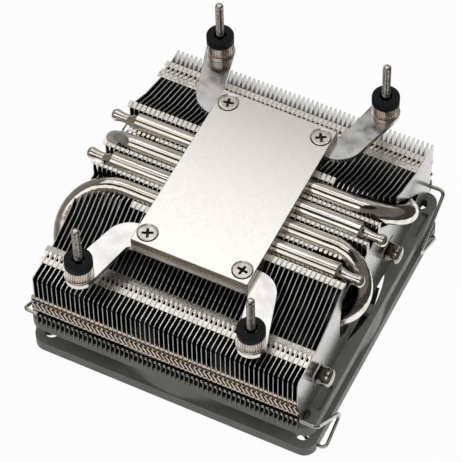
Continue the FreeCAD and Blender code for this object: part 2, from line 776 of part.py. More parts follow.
coil_start = size("boss_radius") + 2.9
coil_end = shoe_inner - 0.4
coil_wall = 1.5
for number in range(1, 5):
    coil = new_body(f"stator_coil_{number}")
    section = new_sketch(coil, f"coil_section_{number}", "YZ_Plane", str(coil_start))
    outer_y = pole_half + coil_wall
    outer_z = coil_wall + 0.05
    middle_z = (core_top + core_low) / 2
    half_core = (core_top - core_low) / 2
    for y, z, radius in (
        (outer_y, half_core + outer_z, 1.0),
        (pole_half + 0.05, half_core + 0.05, 0),
    ):
        draw_outline(
            section,
            [
                (-y, middle_z - z, radius),
                (y, middle_z - z, radius),
                (y, middle_z + z, radius),
                (-y, middle_z + z, radius),
            ],
        )
    extrude(coil, "Pad", section, f"coil_{number}", str(coil_end - coil_start))
    coil.Placement = Placement(Vector(), Rotation(Vector(0, 0, 1), 90 * (number - 1)))

# ---------------------------------------------------------------- motor, turning side
# The moulded impeller holds a steel yoke with the magnet ring, and the shaft.

face_z = -size("hub_face_depth")
rim_z = -size("hub_rim_depth")
motor_radius = size("motor_radius")
hub_inner = motor_radius - size("hub_wall")
hub_floor = face_z + size("hub_wall")
post_radius = 3.2
post_top = -47.0

impeller_blank = new_body("impeller_blank", kept=False)
hub = new_sketch(impeller_blank, "hub_profile", "XZ_Plane")
draw_outline(
    hub,
    [
        (shaft_radius, face_z),
        (motor_radius, face_z, 1.5),
        (motor_radius, rim_z),
        (hub_inner, rim_z),
        (hub_inner, hub_floor),
        (post_radius, hub_floor),
        (post_radius, post_top),
        (shaft_radius, post_top),
    ],
)
turn(impeller_blank, "Revolution", hub, "hub")

blade_middle_z = -44.3
root_x = motor_radius - 0.8
tip_x = size("blade_tip_radius") + 1.5


def blade_section(label, x, chord, pitch_angle, camber, thickness):
    """A thin curved section of a blade, at one distance from the axis."""
    drawn = new_sketch(impeller_blank, label, "YZ_Plane", str(x))
    lean = math.radians(pitch_angle)
    along = Vector(math.cos(lean), math.sin(lean), 0)
    up = Vector(-math.sin(lean), math.cos(lean), 0)
    middle = Vector(0, blade_middle_z, 0)
    lead = middle + along * (chord / 2)
    trail = middle - along * (chord / 2)
    skin = up * thickness
    drawn.addGeometry(
        [
            Part.Arc(trail, middle + up * camber, lead),
            Part.LineSegment(lead, lead + skin),
            Part.Arc(lead + skin, middle + up * (camber + thickness), trail + skin),
            Part.LineSegment(trail + skin, trail),
        ],
        False,
    )
    return drawn


root = blade_section("blade_root", root_x, 14.0, 44, 1.2, 1.2)
tip = blade_section("blade_tip", tip_x, 23.0, 25, 2.0, 0.9)
blade = impeller_blank.newObject("PartDesign::AdditiveLoft", "blade")
blade.Profile = root
blade.Sections = [tip]
blade.Ruled = True
copies(impeller_blank, "PolarPattern", [blade], "blades", "Z_Axis", "Sizes.blade_count")

sweep = doc.addObject("Part::Cylinder", "blade_sweep")
sweep.setExpression("Radius", "Sizes.blade_tip_radius")
sweep.setExpression("Height", "Sizes.fan_height")
sweep.setExpression(".Placement.Base.z", "-Sizes.fin_base_depth - Sizes.fan_height")
impeller = doc.addObject("Part::Common", "impeller")
impeller.Label = "impeller"
impeller.Base = impeller_blank
impeller.Tool = sweep
pieces.append(impeller)

yoke_outer = hub_inner
yoke_inner = yoke_outer - size("yoke_wall")
yoke_low = hub_floor
yoke_rim = rim_z - 0.8
turned_body(
    "rotor_yoke",
    [
        (post_radius + 0.05, yoke_low),
        (yoke_outer, yoke_low),
        (yoke_outer, yoke_rim),
        (yoke_inner, yoke_rim),
        (yoke_inner, yoke_low + size("yoke_wall")),
        (post_radius + 0.05, yoke_low + size("yoke_wall")),
    ],
)
turned_body(
    "magnet_ring",
    [
        (yoke_inner - size("magnet_wall"), yoke_low + 1.6),
        (yoke_inner, yoke_low + 1.6),
        (yoke_inner, yoke_rim - 0.6),
        (yoke_inner - size("magnet_wall"), yoke_rim - 0.6),
    ],
)
shaft_top = pad_low - 0.05
clip_z = bearing_top + 0.35
SHAFT_PROFILE = [
    (0, face_z + 0.4),
    (shaft_radius, face_z + 0.4),
    (shaft_radius, clip_z),
    (shaft_radius - 0.4, clip_z),
    (shaft_radius - 0.4, clip_z + 0.4),
    (shaft_radius, clip_z + 0.4),
    (shaft_radius, shaft_top, 0.4),
    (0, shaft_top),
]
turned_body("rotor_shaft", SHAFT_PROFILE)
turned_body(
    "shaft_clip",
    [
        (shaft_radius - 0.4, clip_z),
        (shaft_radius + 0.9, clip_z),
        (shaft_radius + 0.9, clip_z + 0.4),
        (shaft_radius - 0.4, clip_z + 0.4),
    ],
)

# ---------------------------------------------------------------- fan clips
# Bent spring wires. Each lies in the notches of the fins, comes round the stack's corners,
# runs down beside the fan and hooks into its lower corner holes from below.

wire_radius = size("wire_radius")
seat_y = clip_seat_y + wire_radius
seat_z = clip_ledge_z + wire_radius
hook_z = fan_low + wire_radius + 0.1
wire_bend = 1.6
hook_bend = 1.0
hook_length = 3.0
free_x = size("clip_free_x")
near_x = size("clip_near_x")
HOOK = [
    (hole_at, -hole_at, hook_z, hook_bend),
    (hole_at, -hole_at, hook_z + hook_length, 0),
]
CLIP_FREE_SIDE = [
    (free_x, -seat_y, seat_z, wire_bend),
    (free_x + 0.8, -31.0, -45.0, wire_bend),
    (free_x + 0.6, -hole_at, hook_z, wire_bend),
] + HOOK
CLIP_NEAR_SIDE = [
    (near_x, -seat_y, seat_z, wire_bend),
    (near_x, -28.0, -43.0, wire_bend),
    (near_x, -hole_at, hook_z, wire_bend),
] + HOOK


def fan_clip(label, half_turn):
    left = [(-x, y, z, radius) for x, y, z, radius in reversed(CLIP_NEAR_SIDE)]
    path = rounded_path(left + CLIP_FREE_SIDE, False)
    spine = Part.Wire([curve.toShape() for curve in path])
    start = spine.Edges[0]
    heading = start.tangentAt(start.FirstParameter)
    circle = Part.Wire([Part.makeCircle(wire_radius, start.Vertexes[0].Point, heading)])
    wire = doc.addObject("Part::Feature", label)
    wire.Label = label
    wire.Shape = spine.makePipeShell([circle], True, True)
    wire.Placement = Placement(Vector(), Rotation(Vector(0, 0, 1), half_turn))
    pieces.append(wire)


fan_clip("fan_clip_front", 0)
fan_clip("fan_clip_back", 180)

# ---------------------------------------------------------------- checks and export

doc.recompute()
for item in doc.Objects:
    faults = {"Invalid", "Error"} & set(item.State)
    if faults:
        raise RuntimeError(f"{item.Label}: {item.State}")
os.makedirs("parts", exist_ok=True)
for piece in pieces:
    shape = piece.Shape
    if shape.isNull() or not shape.isValid() or not shape.Solids:
        raise RuntimeError(f"{piece.Label} has no valid solid")
    shape.exportStep(f"parts/{piece.Label}.step")
    box = shape.BoundBox
    print(
        f"{piece.Label}: {len(shape.Solids)} solid(s), {shape.Volume:.1f} mm3, "
        f"x {box.XMin:.2f} {box.XMax:.2f}, y {box.YMin:.2f} {box.YMax:.2f}, "
        f"z {box.ZMin:.2f} {box.ZMax:.2f}"
    )
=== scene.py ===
import math

import bmesh
import bpy
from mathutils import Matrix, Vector


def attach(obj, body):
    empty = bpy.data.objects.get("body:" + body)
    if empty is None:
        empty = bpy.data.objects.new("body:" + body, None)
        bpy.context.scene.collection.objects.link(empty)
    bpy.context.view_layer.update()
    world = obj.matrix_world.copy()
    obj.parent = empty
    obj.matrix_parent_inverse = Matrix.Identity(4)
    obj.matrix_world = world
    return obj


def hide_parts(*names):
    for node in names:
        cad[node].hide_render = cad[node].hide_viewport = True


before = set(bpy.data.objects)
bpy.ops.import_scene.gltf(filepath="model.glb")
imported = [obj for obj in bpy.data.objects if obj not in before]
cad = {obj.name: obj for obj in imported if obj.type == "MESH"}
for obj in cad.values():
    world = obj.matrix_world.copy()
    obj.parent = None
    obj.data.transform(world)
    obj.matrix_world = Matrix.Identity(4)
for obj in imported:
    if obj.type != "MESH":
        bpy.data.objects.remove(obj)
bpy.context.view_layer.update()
mm = 0.001

# ---------------------------------------------------------------- base plate
# A copper block, ground flat on its contact face and nickel plated all over. Its sides keep the
# marks of the mill under a painted shade, and four screws pull it down on the pipes.


def shader_group(name, inputs, outputs):
    """An empty group of shader nodes with named sockets."""
    tree = bpy.data.node_groups.new(name, "ShaderNodeTree")
    for label, kind, value in inputs:
        socket = tree.interface.new_socket(label, in_out="INPUT", socket_type=kind)
        socket.default_value = value
    for label, kind in outputs:
        tree.interface.new_socket(label, in_out="OUTPUT", socket_type=kind)
    return tree, tree.nodes.new("NodeGroupInput"), tree.nodes.new("NodeGroupOutput")


def stretched_noise(tree, position, stretch, detail):
    """A noise texture whose pattern is stretched along an axis."""
    scaled = tree.nodes.new("ShaderNodeVectorMath")
    scaled.operation = "MULTIPLY"
    tree.links.new(position, scaled.inputs[0])
    tree.links.new(stretch, scaled.inputs[1])
    noise = tree.nodes.new("ShaderNodeTexNoise")
    noise.inputs["Scale"].default_value = 1.0
    noise.inputs["Detail"].default_value = detail
    tree.links.new(scaled.outputs[0], noise.inputs["Vector"])
    return noise.outputs["Fac"]


VECTOR, FLOAT, COLOR = "NodeSocketVector", "NodeSocketFloat", "NodeSocketColor"

grain, grain_in, grain_out = shader_group(
    "surface_grain",
    [("Position", VECTOR, (0, 0, 0)), ("Stretch", VECTOR, (1, 1, 1)), ("Depth", FLOAT, 1e-6)],
    [("Mask", FLOAT), ("Normal", VECTOR)],
)
grain_noise = stretched_noise(grain, grain_in.outputs["Position"], grain_in.outputs["Stretch"], 3.0)
grain_bump = grain.nodes.new("ShaderNodeBump")
grain.links.new(grain_in.outputs["Depth"], grain_bump.inputs["Distance"])
grain.links.new(grain_noise, grain_bump.inputs["Height"])
grain.links.new(grain_noise, grain_out.inputs["Mask"])
grain.links.new(grain_bump.outputs["Normal"], grain_out.inputs["Normal"])

blotch, blotch_in, blotch_out = shader_group(
    "uneven_value",
    [
        ("Position", VECTOR, (0, 0, 0)),
        ("Stretch", VECTOR, (1, 1, 1)),
        ("Low", FLOAT, 0.2),
        ("High", FLOAT, 0.4),
    ],
    [("Value", FLOAT)],
)
blotch_noise = stretched_noise(
    blotch, blotch_in.outputs["Position"], blotch_in.outputs["Stretch"], 2.0
)
blotch_range = blotch.nodes.new("ShaderNodeMapRange")
blotch_range.inputs["From Min"].default_value = 0.32
blotch_range.inputs["From Max"].default_value = 0.68
blotch.links.new(blotch_noise, blotch_range.inputs["Value"])
blotch.links.new(blotch_in.outputs["Low"], blotch_range.inputs["To Min"])
blotch.links.new(blotch_in.outputs["High"], blotch_range.inputs["To Max"])
blotch.links.new(blotch_range.outputs["Result"], blotch_out.inputs["Value"])

tones, tones_in, tones_out = shader_group(
    "two_tones",
    [
        ("Position", VECTOR, (0, 0, 0)),
        ("Stretch", VECTOR, (1, 1, 1)),
        ("First", COLOR, (1, 1, 1, 1)),
        ("Second", COLOR, (0, 0, 0, 1)),
    ],
    [("Color", COLOR)],
)
tones_noise = stretched_noise(tones, tones_in.outputs["Position"], tones_in.outputs["Stretch"], 3.0)
tones_ramp = tones.nodes.new("ShaderNodeMapRange")
tones_ramp.inputs["From Min"].default_value = 0.35
tones_ramp.inputs["From Max"].default_value = 0.65
tones_mix = tones.nodes.new("ShaderNodeMix")
tones_mix.data_type = "RGBA"
tones.links.new(tones_noise, tones_ramp.inputs["Value"])
tones.links.new(tones_ramp.outputs["Result"], tones_mix.inputs["Factor"])
tones.links.new(tones_in.outputs["First"], tones_mix.inputs["A"])
tones.links.new(tones_in.outputs["Second"], tones_mix.inputs["B"])
tones.links.new(tones_mix.outputs["Result"], tones_out.inputs["Color"])


def placed_group(material, group, **values):
    """A group in a material, reading Object coordinates, with its own values."""
    tree = material.node_tree
    place = tree.nodes.get("Place") or tree.nodes.new("ShaderNodeTexCoord")
    place.name = "Place"
    node = tree.nodes.new("ShaderNodeGroup")
    node.node_tree = group
    tree.links.new(place.outputs["Object"], node.inputs["Position"])
    for label, value in values.items():
        node.inputs[label].default_value = value
    return node


def make_finish(name, first, second, tone_stretch, metallic, rough, rough_stretch, grain_values):
    """A surface finish: two close tones, uneven roughness and a fine relief."""
    material = bpy.data.materials.new(name)
    material.use_nodes = True
    tree = material.node_tree
    shader = tree.nodes["Principled BSDF"]
    shader.inputs["Metallic"].default_value = metallic
    color = placed_group(
        material, tones, Stretch=tone_stretch, First=(*first, 1), Second=(*second, 1)
    )
    tree.links.new(color.outputs["Color"], shader.inputs["Base Color"])
    value = placed_group(material, blotch, Stretch=rough_stretch, Low=rough[0], High=rough[1])
    tree.links.new(value.outputs["Value"], shader.inputs["Roughness"])
    relief = placed_group(material, grain, Stretch=grain_values[0], Depth=grain_values[1])
    tree.links.new(relief.outputs["Normal"], shader.inputs["Normal"])
    return material


def put_in_scene(name, data):
    """A new object of the scene, at the origin, that holds the given data."""
    piece = bpy.data.objects.new(name, data)
    bpy.context.scene.collection.objects.link(piece)
    return piece


def paint_nodes(material, *names):
    """Gives a material to CAD nodes that keep their own meshes."""
    for name in names:
        mesh = cad[name].data
        mesh.materials.clear()
        mesh.materials.append(material)


def merged_copy(name, node, sharp_angle):
    """A copy of a CAD node with its triangles joined, smooth but for its real edges."""
    mesh = cad[node].data.copy()
    mesh.name = name
    joined = bmesh.new()
    joined.from_mesh(mesh)
    bmesh.ops.remove_doubles(joined, verts=joined.verts, dist=1e-6)
    joined.to_mesh(mesh)
    joined.free()
    for layer in [layer for layer in mesh.attributes if layer.name == "custom_normal"]:
        mesh.attributes.remove(layer)
    mesh.shade_smooth()
    mesh.set_sharp_from_angle(angle=math.radians(sharp_angle))
    mesh.materials.clear()
    return put_in_scene(name, mesh)


def rounded_edges(piece, width, angle):
    """Rounds the sharp edges of a piece."""
    rounding = piece.modifiers.new("edge_round", "BEVEL")
    rounding.width = width * mm
    rounding.segments = 2
    rounding.limit_method = "ANGLE"
    rounding.angle_limit = math.radians(angle)


def even_shading(piece):
    """Lets the large faces of a piece set its shading, so that flats and cylinders look true."""
    even = piece.modifiers.new("even_shading", "WEIGHTED_NORMAL")
    even.mode = "FACE_AREA"
    even.weight = 60
    even.keep_sharp = True


ground_nickel = make_finish(
    "ground_nickel",
    (0.915, 0.90, 0.853),
    (0.885, 0.868, 0.815),
    (900, 700, 900),
    1.0,
    (0.20, 0.218),
    (500, 400, 500),
    ((3600, 2400, 3600), 1.6e-6),
)
# Painted shade: the side faces take this darker, browner copy of the nickel, over the mill's marks.
milled_side = make_finish(
    "milled_side",
    (0.42, 0.355, 0.30),
    (0.27, 0.225, 0.19),
    (60, 60, 1400),
    1.0,
    (0.22, 0.32),
    (400, 400, 900),
    ((90, 90, 2200), 8e-6),
)
SIDE_SLOPE = 0.3
plate = merged_copy("base_plate_dressed", "base_plate", 30)
rounded_edges(plate, 0.18, 50)
even_shading(plate)
plate.data.materials.append(ground_nickel)
plate.data.materials.append(milled_side)
# The upright faces get the painted shade finish.
for face in plate.data.polygons:
    if abs(face.normal.z) < SIDE_SLOPE:
        face.material_index = 1
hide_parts("base_plate")
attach(plate, "cooler")

# ---------------------------------------------------------------- mounting brackets
# Two stamped steel sheets under the ends of the plate, bright nickel plated. Their faces are
# almost a mirror, with faint waves from the rolling.

sheet_nickel = make_finish(
    "sheet_nickel",
    (0.785, 0.775, 0.745),
    (0.74, 0.73, 0.70),
    (160, 160, 160),
    1.0,
    (0.13, 0.25),
    (220, 220, 220),
    ((420, 420, 420), 1.1e-5),
)
FLAT_WITHIN = math.radians(0.4)
for side in ("front", "back"):
    bracket = merged_copy(f"bracket_{side}_dressed", f"bracket_{side}", 30)
    stamped = bmesh.new()
    stamped.from_mesh(bracket.data)
    bmesh.ops.dissolve_limit(
        stamped, angle_limit=FLAT_WITHIN, verts=stamped.verts[:], edges=stamped.edges[:]
    )
    stamped.to_mesh(bracket.data)
    stamped.free()
    bracket.data.materials.append(sheet_nickel)
    rounded_edges(bracket, 0.14, 50)
    even_shading(bracket)
    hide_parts(f"bracket_{side}")
    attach(bracket, "cooler")

# ---------------------------------------------------------------- base screws
# Four countersunk cross-head screws of plated steel, flush with the contact face. The head is
# a little smaller than its sink, and the cross is struck with sloping walls and painted dark as
# shade.

screw_steel = make_finish(
    "screw_steel",
    (0.74, 0.71, 0.65),
    (0.62, 0.59, 0.54),
    (400, 400, 400),
    1.0,
    (0.22, 0.36),
    (500, 500, 500),
    ((2500, 2500, 2500), 4e-6),
)
# Painted shade: the cross recess is coloured dark where shade falls in it.
cross_painted_shade = make_finish(
    "screw_recess",
    (0.16, 0.15, 0.13),
    (0.10, 0.09, 0.08),
    (400, 400, 400),
    1.0,
    (0.4, 0.5),
    (500, 500, 500),
    ((2500, 2500, 2500), 4e-6),
)


def cross_radius(angle, arm, half_width, corner):
    """How far the cross reaches from its middle in a direction."""
    turned = (angle + math.pi / 4) % (math.pi / 2) - math.pi / 4
    along, across = abs(math.cos(turned)), abs(math.sin(turned))
    reach = arm / along
    if across > 1e-9:
        reach = min(reach, half_width / across)
    return max(reach, corner)


def ring_mesh(name, rings, closed_bottom=True, closed_top=True):
    """A skin over rings of points. Each ring has the same number of points."""
    mesh = bmesh.new()
    made = [[mesh.verts.new(point) for point in ring] for ring in rings]
    count = len(made[0])
    for lower, upper in zip(made, made[1:]):
        for step in range(count):
            after = (step + 1) % count
            mesh.faces.new((lower[step], lower[after], upper[after], upper[step]))
    if closed_bottom:
        mesh.faces.new(list(reversed(made[0])))
    if closed_top:
        mesh.faces.new(made[-1])
    bmesh.ops.recalc_face_normals(mesh, faces=mesh.faces)
    data = bpy.data.meshes.new(name)
    mesh.to_mesh(data)
    mesh.free()
    return data


SCREWS = {
    "front_left": (-15, -26, 24),
    "front_right": (15, -26, -9),
    "back_right": (15, 26, 31),
    "back_left": (-15, 26, 12),
}
SCREW_STEPS = 96
HEAD_RINGS = (
    (1.5, -4.6),
    (1.5, -1.55),
    (2.5, -0.55),
    (2.74, -0.3),
    (2.78, -0.14),
    (2.68, -0.03),
    (2.4, 0.0),
    (2.0, 0.0),
)
CROSS_ARM, CROSS_HALF_WIDTH, CROSS_CORNER = 1.72, 0.42, 0.7
CROSS_RINGS = ((1.0, 0.0), (0.94, -0.08), (0.66, -0.95), (0.3, -1.25))
RECESS_RADIUS, RECESS_TOP, RECESS_FLOOR = 1.7, -0.06, -1.4
for name, (x, y, degrees) in SCREWS.items():
    spin = math.radians(degrees)
    rings = [[(radius, z)] * SCREW_STEPS for radius, z in HEAD_RINGS]
    for grow, z in CROSS_RINGS:
        ring = []
        for step in range(SCREW_STEPS):
            angle = 2 * math.pi * step / SCREW_STEPS
            reach = cross_radius(angle - spin, CROSS_ARM, CROSS_HALF_WIDTH, CROSS_CORNER)
            ring.append((reach * grow, z))
        rings.append(ring)
    points = []
    for ring in rings:
        points.append(
            [
                (
                    (x + radius * math.cos(2 * math.pi * step / SCREW_STEPS)) * mm,
                    (y + radius * math.sin(2 * math.pi * step / SCREW_STEPS)) * mm,
                    z * mm,
                )
                for step, (radius, z) in enumerate(ring)
            ]
        )
    mesh = ring_mesh(f"base_screw_{name}_dressed", points)
    mesh.shade_smooth()
    mesh.set_sharp_from_angle(angle=math.radians(28))
    mesh.materials.append(screw_steel)
    mesh.materials.append(cross_painted_shade)
    # Faces inside the cross recess take the painted shade.
    for face in mesh.polygons:
        off_axis = math.hypot(face.center.x - x * mm, face.center.y - y * mm)
        if off_axis < RECESS_RADIUS * mm and RECESS_FLOOR * mm < face.center.z < RECESS_TOP * mm:
            face.material_index = 1
    screw = put_in_scene(mesh.name, mesh)
    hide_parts(f"base_screw_{name}")
    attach(screw, "cooler")

# ---------------------------------------------------------------- studs
# Four plated M3 studs with rolled threads. The thread is a ridge wound round a thinner core,
# from just above the washer to the rounded tip.

stud_steel = make_finish(
    "stud_steel",
    (0.80, 0.77, 0.71),
    (0.58, 0.54, 0.48),
    (300, 300, 900),
    1.0,
    (0.10, 0.18),
    (300, 300, 300),
    ((1500, 1500, 1500), 2e-6),
)


def turned_mesh(name, profile, centre, steps):
    """A closed solid of revolution about a vertical line. The profile is radius and height."""
    rings = []
    for radius, z in profile:
        rings.append(
            [
                (
                    (centre[0] + radius * math.cos(2 * math.pi * step / steps)) * mm,
                    (centre[1] + radius * math.sin(2 * math.pi * step / steps)) * mm,
                    z * mm,
                )
                for step in range(steps)
            ]
        )
    return ring_mesh(name, rings)


def geometry_tree(name, inputs):
    """An empty tree of geometry nodes with named inputs, and the identifier of each."""
    tree = bpy.data.node_groups.new(name, "GeometryNodeTree")
    tree.interface.new_socket("Geometry", in_out="INPUT", socket_type="NodeSocketGeometry")
    sockets = {}
    for label, kind in inputs:
        socket = tree.interface.new_socket(label, in_out="INPUT", socket_type=kind)
        sockets[label] = socket.identifier
    tree.interface.new_socket("Geometry", in_out="OUTPUT", socket_type="NodeSocketGeometry")
    return tree, sockets, tree.nodes.new("NodeGroupInput"), tree.nodes.new("NodeGroupOutput")


def grown_piece(name, base_mesh, tree, sockets, values):
    """The plain mesh that a tree of geometry nodes makes from a base mesh."""
    host = put_in_scene(f"{name}_host", base_mesh)
    grower = host.modifiers.new("grower", "NODES")
    grower.node_group = tree
    for label, value in values.items():
        grower[sockets[label]] = value
    graph = bpy.context.evaluated_depsgraph_get()
    mesh = bpy.data.meshes.new_from_object(host.evaluated_get(graph), depsgraph=graph)
    mesh.name = name
    host.modifiers.remove(grower)
    bpy.data.objects.remove(host)
    return put_in_scene(name, mesh)


MATERIAL, INTEGER, OBJECT = "NodeSocketMaterial", "NodeSocketInt", "NodeSocketObject"

thread_tree, thread_sockets, thread_in, thread_out = geometry_tree(
    "wound_thread",
    [
        ("Turns", FLOAT),
        ("Radius", FLOAT),
        ("Height", FLOAT),
        ("Ridge", FLOAT),
        ("Start", VECTOR),
        ("Finish", MATERIAL),
    ],
)
helix = thread_tree.nodes.new("GeometryNodeCurveSpiral")
helix.inputs["Resolution"].default_value = 28
ridge = thread_tree.nodes.new("GeometryNodeCurvePrimitiveCircle")
ridge.inputs["Resolution"].default_value = 4
wound = thread_tree.nodes.new("GeometryNodeCurveToMesh")
wound.inputs["Fill Caps"].default_value = True
lift = thread_tree.nodes.new("GeometryNodeTransform")
both = thread_tree.nodes.new("GeometryNodeJoinGeometry")
real = thread_tree.nodes.new("GeometryNodeRealizeInstances")
coat = thread_tree.nodes.new("GeometryNodeSetMaterial")
link = thread_tree.links.new
link(thread_in.outputs["Turns"], helix.inputs["Rotations"])
link(thread_in.outputs["Radius"], helix.inputs["Start Radius"])
link(thread_in.outputs["Radius"], helix.inputs["End Radius"])
link(thread_in.outputs["Height"], helix.inputs["Height"])
link(thread_in.outputs["Ridge"], ridge.inputs["Radius"])
link(helix.outputs["Curve"], wound.inputs["Curve"])
link(ridge.outputs["Curve"], wound.inputs["Profile Curve"])
link(wound.outputs["Mesh"], lift.inputs["Geometry"])
link(thread_in.outputs["Start"], lift.inputs["Translation"])
link(lift.outputs["Geometry"], both.inputs["Geometry"])
link(thread_in.outputs["Geometry"], both.inputs["Geometry"])
link(both.outputs["Geometry"], real.inputs["Geometry"])
link(real.outputs["Geometry"], coat.inputs["Geometry"])
link(thread_in.outputs["Finish"], coat.inputs["Material"])
link(coat.outputs["Geometry"], thread_out.inputs["Geometry"])

CORNERS = {
    "front_left": (-27, -45),
    "front_right": (27, -45),
    "back_right": (27, 45),
    "back_left": (-27, 45),
}
STUD_CORE = [
    (2.2, -5.6),
    (2.6, -5.3),
    (2.6, -4.6),
    (1.2, -4.6),
    (1.2, 4.3),
    (1.12, 4.6),
    (1.12, 17.1),
    (1.08, 17.45),
    (0.92, 17.72),
    (0.62, 17.86),
    (0.25, 17.9),
]
for name, (x, y) in CORNERS.items():
    core = turned_mesh(f"stud_core_{name}", STUD_CORE, (x, y), 32)
    core.shade_smooth()
    core.set_sharp_from_angle(angle=math.radians(40))
    stud = grown_piece(
        f"stud_{name}_dressed",
        core,
        thread_tree,
        thread_sockets,
        {
            "Turns": 25.0,
            "Radius": 1.11 * mm,
            "Height": 12.5 * mm,
            "Ridge": 0.14 * mm,
            "Start": [x * mm, y * mm, 4.7 * mm],
            "Finish": stud_steel,
        },
    )
    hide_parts(f"stud_{name}")
    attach(stud, "cooler")

# ---------------------------------------------------------------- knurled nuts
# Round nickelled brass nuts that clamp the studs in the arms. Straight knurls stand round the
# side, over a turned groove and a plain rim.

satin_brass = make_finish(
    "satin_brass",
    (0.80, 0.72, 0.66),
    (0.62, 0.53, 0.47),
    (500, 500, 200),
    1.0,
    (0.20, 0.32),
    (400, 400, 400),
    ((3000, 3000, 600), 3e-6),
)

ring_tree, ring_sockets, ring_in, ring_out = geometry_tree(
    "ring_of_ribs",
    [
        ("Rib", OBJECT),
        ("Count", INTEGER),
        ("Radius", FLOAT),
        ("Centre", VECTOR),
        ("Finish", MATERIAL),
    ],
)
circle = ring_tree.nodes.new("GeometryNodeMeshCircle")
move = ring_tree.nodes.new("GeometryNodeTransform")
rib_info = ring_tree.nodes.new("GeometryNodeObjectInfo")
spread = ring_tree.nodes.new("GeometryNodeInstanceOnPoints")
aim = ring_tree.nodes.new("FunctionNodeAlignRotationToVector")
aim.axis = "X"
aim.pivot_axis = "Z"
spot = ring_tree.nodes.new("GeometryNodeInputPosition")
both = ring_tree.nodes.new("GeometryNodeJoinGeometry")
real = ring_tree.nodes.new("GeometryNodeRealizeInstances")
coat = ring_tree.nodes.new("GeometryNodeSetMaterial")
link = ring_tree.links.new
link(ring_in.outputs["Count"], circle.inputs["Vertices"])
link(ring_in.outputs["Radius"], circle.inputs["Radius"])
link(ring_in.outputs["Rib"], rib_info.inputs["Object"])
link(circle.outputs["Mesh"], spread.inputs["Points"])
link(rib_info.outputs["Geometry"], spread.inputs["Instance"])
link(spot.outputs["Position"], aim.inputs["Vector"])
link(aim.outputs["Rotation"], spread.inputs["Rotation"])
link(spread.outputs["Instances"], move.inputs["Geometry"])
link(ring_in.outputs["Centre"], move.inputs["Translation"])
link(move.outputs["Geometry"], both.inputs["Geometry"])
link(ring_in.outputs["Geometry"], both.inputs["Geometry"])
link(both.outputs["Geometry"], real.inputs["Geometry"])
link(real.outputs["Geometry"], coat.inputs["Geometry"])
link(ring_in.outputs["Finish"], coat.inputs["Material"])
link(coat.outputs["Geometry"], ring_out.inputs["Geometry"])


def prism(mesh, outline, low, high):
    """Adds an upright prism over an outline in X and Y."""
    bottom = [mesh.verts.new((x * mm, y * mm, low * mm)) for x, y in outline]
    top = [mesh.verts.new((x * mm, y * mm, high * mm)) for x, y in outline]
    mesh.faces.new(list(reversed(bottom)))
    mesh.faces.new(top)
    count = len(outline)
    for step in range(count):
        after = (step + 1) % count
        mesh.faces.new((bottom[step], bottom[after], top[after], top[step]))


def cell_object(name, build):
    """A small part to be repeated. The builder fills its mesh."""
    mesh = bmesh.new()
    build(mesh)
    bmesh.ops.recalc_face_normals(mesh, faces=mesh.faces)
    data = bpy.data.meshes.new(name)
    mesh.to_mesh(data)
    mesh.free()
    return put_in_scene(name, data)


KNURL = ((-0.3, -0.22), (0.25, -0.2), (0.46, -0.08), (0.46, 0.08), (0.25, 0.2), (-0.3, 0.22))
knurl = cell_object("knurl", lambda mesh: prism(mesh, KNURL, -1.9, 1.45))
NUT_CORE = [
    (1.3, -3.0),
    (4.1, -3.0),
    (4.15, -2.9),
    (4.15, -2.45),
    (3.75, -2.35),
    (3.75, -2.0),
    (3.66, -1.95),
    (3.66, 1.4),
    (3.6, 1.75),
    (3.55, 1.8),
    (1.3, 1.8),
]
for name, (x, y) in CORNERS.items():
    core = turned_mesh(f"nut_core_{name}", NUT_CORE, (x, y), 72)
    core.shade_smooth()
    core.set_sharp_from_angle(angle=math.radians(25))
    nut = grown_piece(
        f"knurled_nut_{name}_dressed",
        core,
        ring_tree,
        ring_sockets,
        {
            "Rib": knurl,
            "Count": 34,
            "Radius": 3.66 * mm,
            "Centre": [x * mm, y * mm, 0.0],
            "Finish": satin_brass,
        },
    )
    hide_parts(f"knurled_nut_{name}")
    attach(nut, "cooler")
bpy.data.objects.remove(knurl)

# ---------------------------------------------------------------- rubber washers
# Thick black rubber rings on the nuts. They are cut from moulded rubber and quite matt.

washer_rubber = make_finish(
    "washer_rubber",
    (0.0065, 0.0065, 0.007),
    (0.011, 0.011, 0.012),
    (900, 900, 900),
    0.0,
    (0.55, 0.75),
    (700, 700, 700),
    ((4500, 4500, 4500), 2.2e-5),
)
washer_rubber.node_tree.nodes["Principled BSDF"].inputs["Specular IOR Level"].default_value = 0.22
for name in CORNERS:
    washer = merged_copy(f"rubber_washer_{name}_dressed", f"rubber_washer_{name}", 40)
    washer.data.materials.append(washer_rubber)
    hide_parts(f"rubber_washer_{name}")
    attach(washer, "cooler")

# ---------------------------------------------------------------- heat pipes
# Four copper pipes, nickel plated and bright, each bent to a U. They are soldered into the plate
# and the fins. The upper noses are drawn down and sealed, the lower ends are domed and painted dark
# as a reflection.

pipe_nickel = make_finish(
    "pipe_nickel",
    (0.95, 0.91, 0.85),
    (0.76, 0.69, 0.61),
    (60, 420, 420),
    1.0,
    (0.06, 0.16),
    (80, 400, 400),
    ((45, 760, 760), 4.4e-5),
)
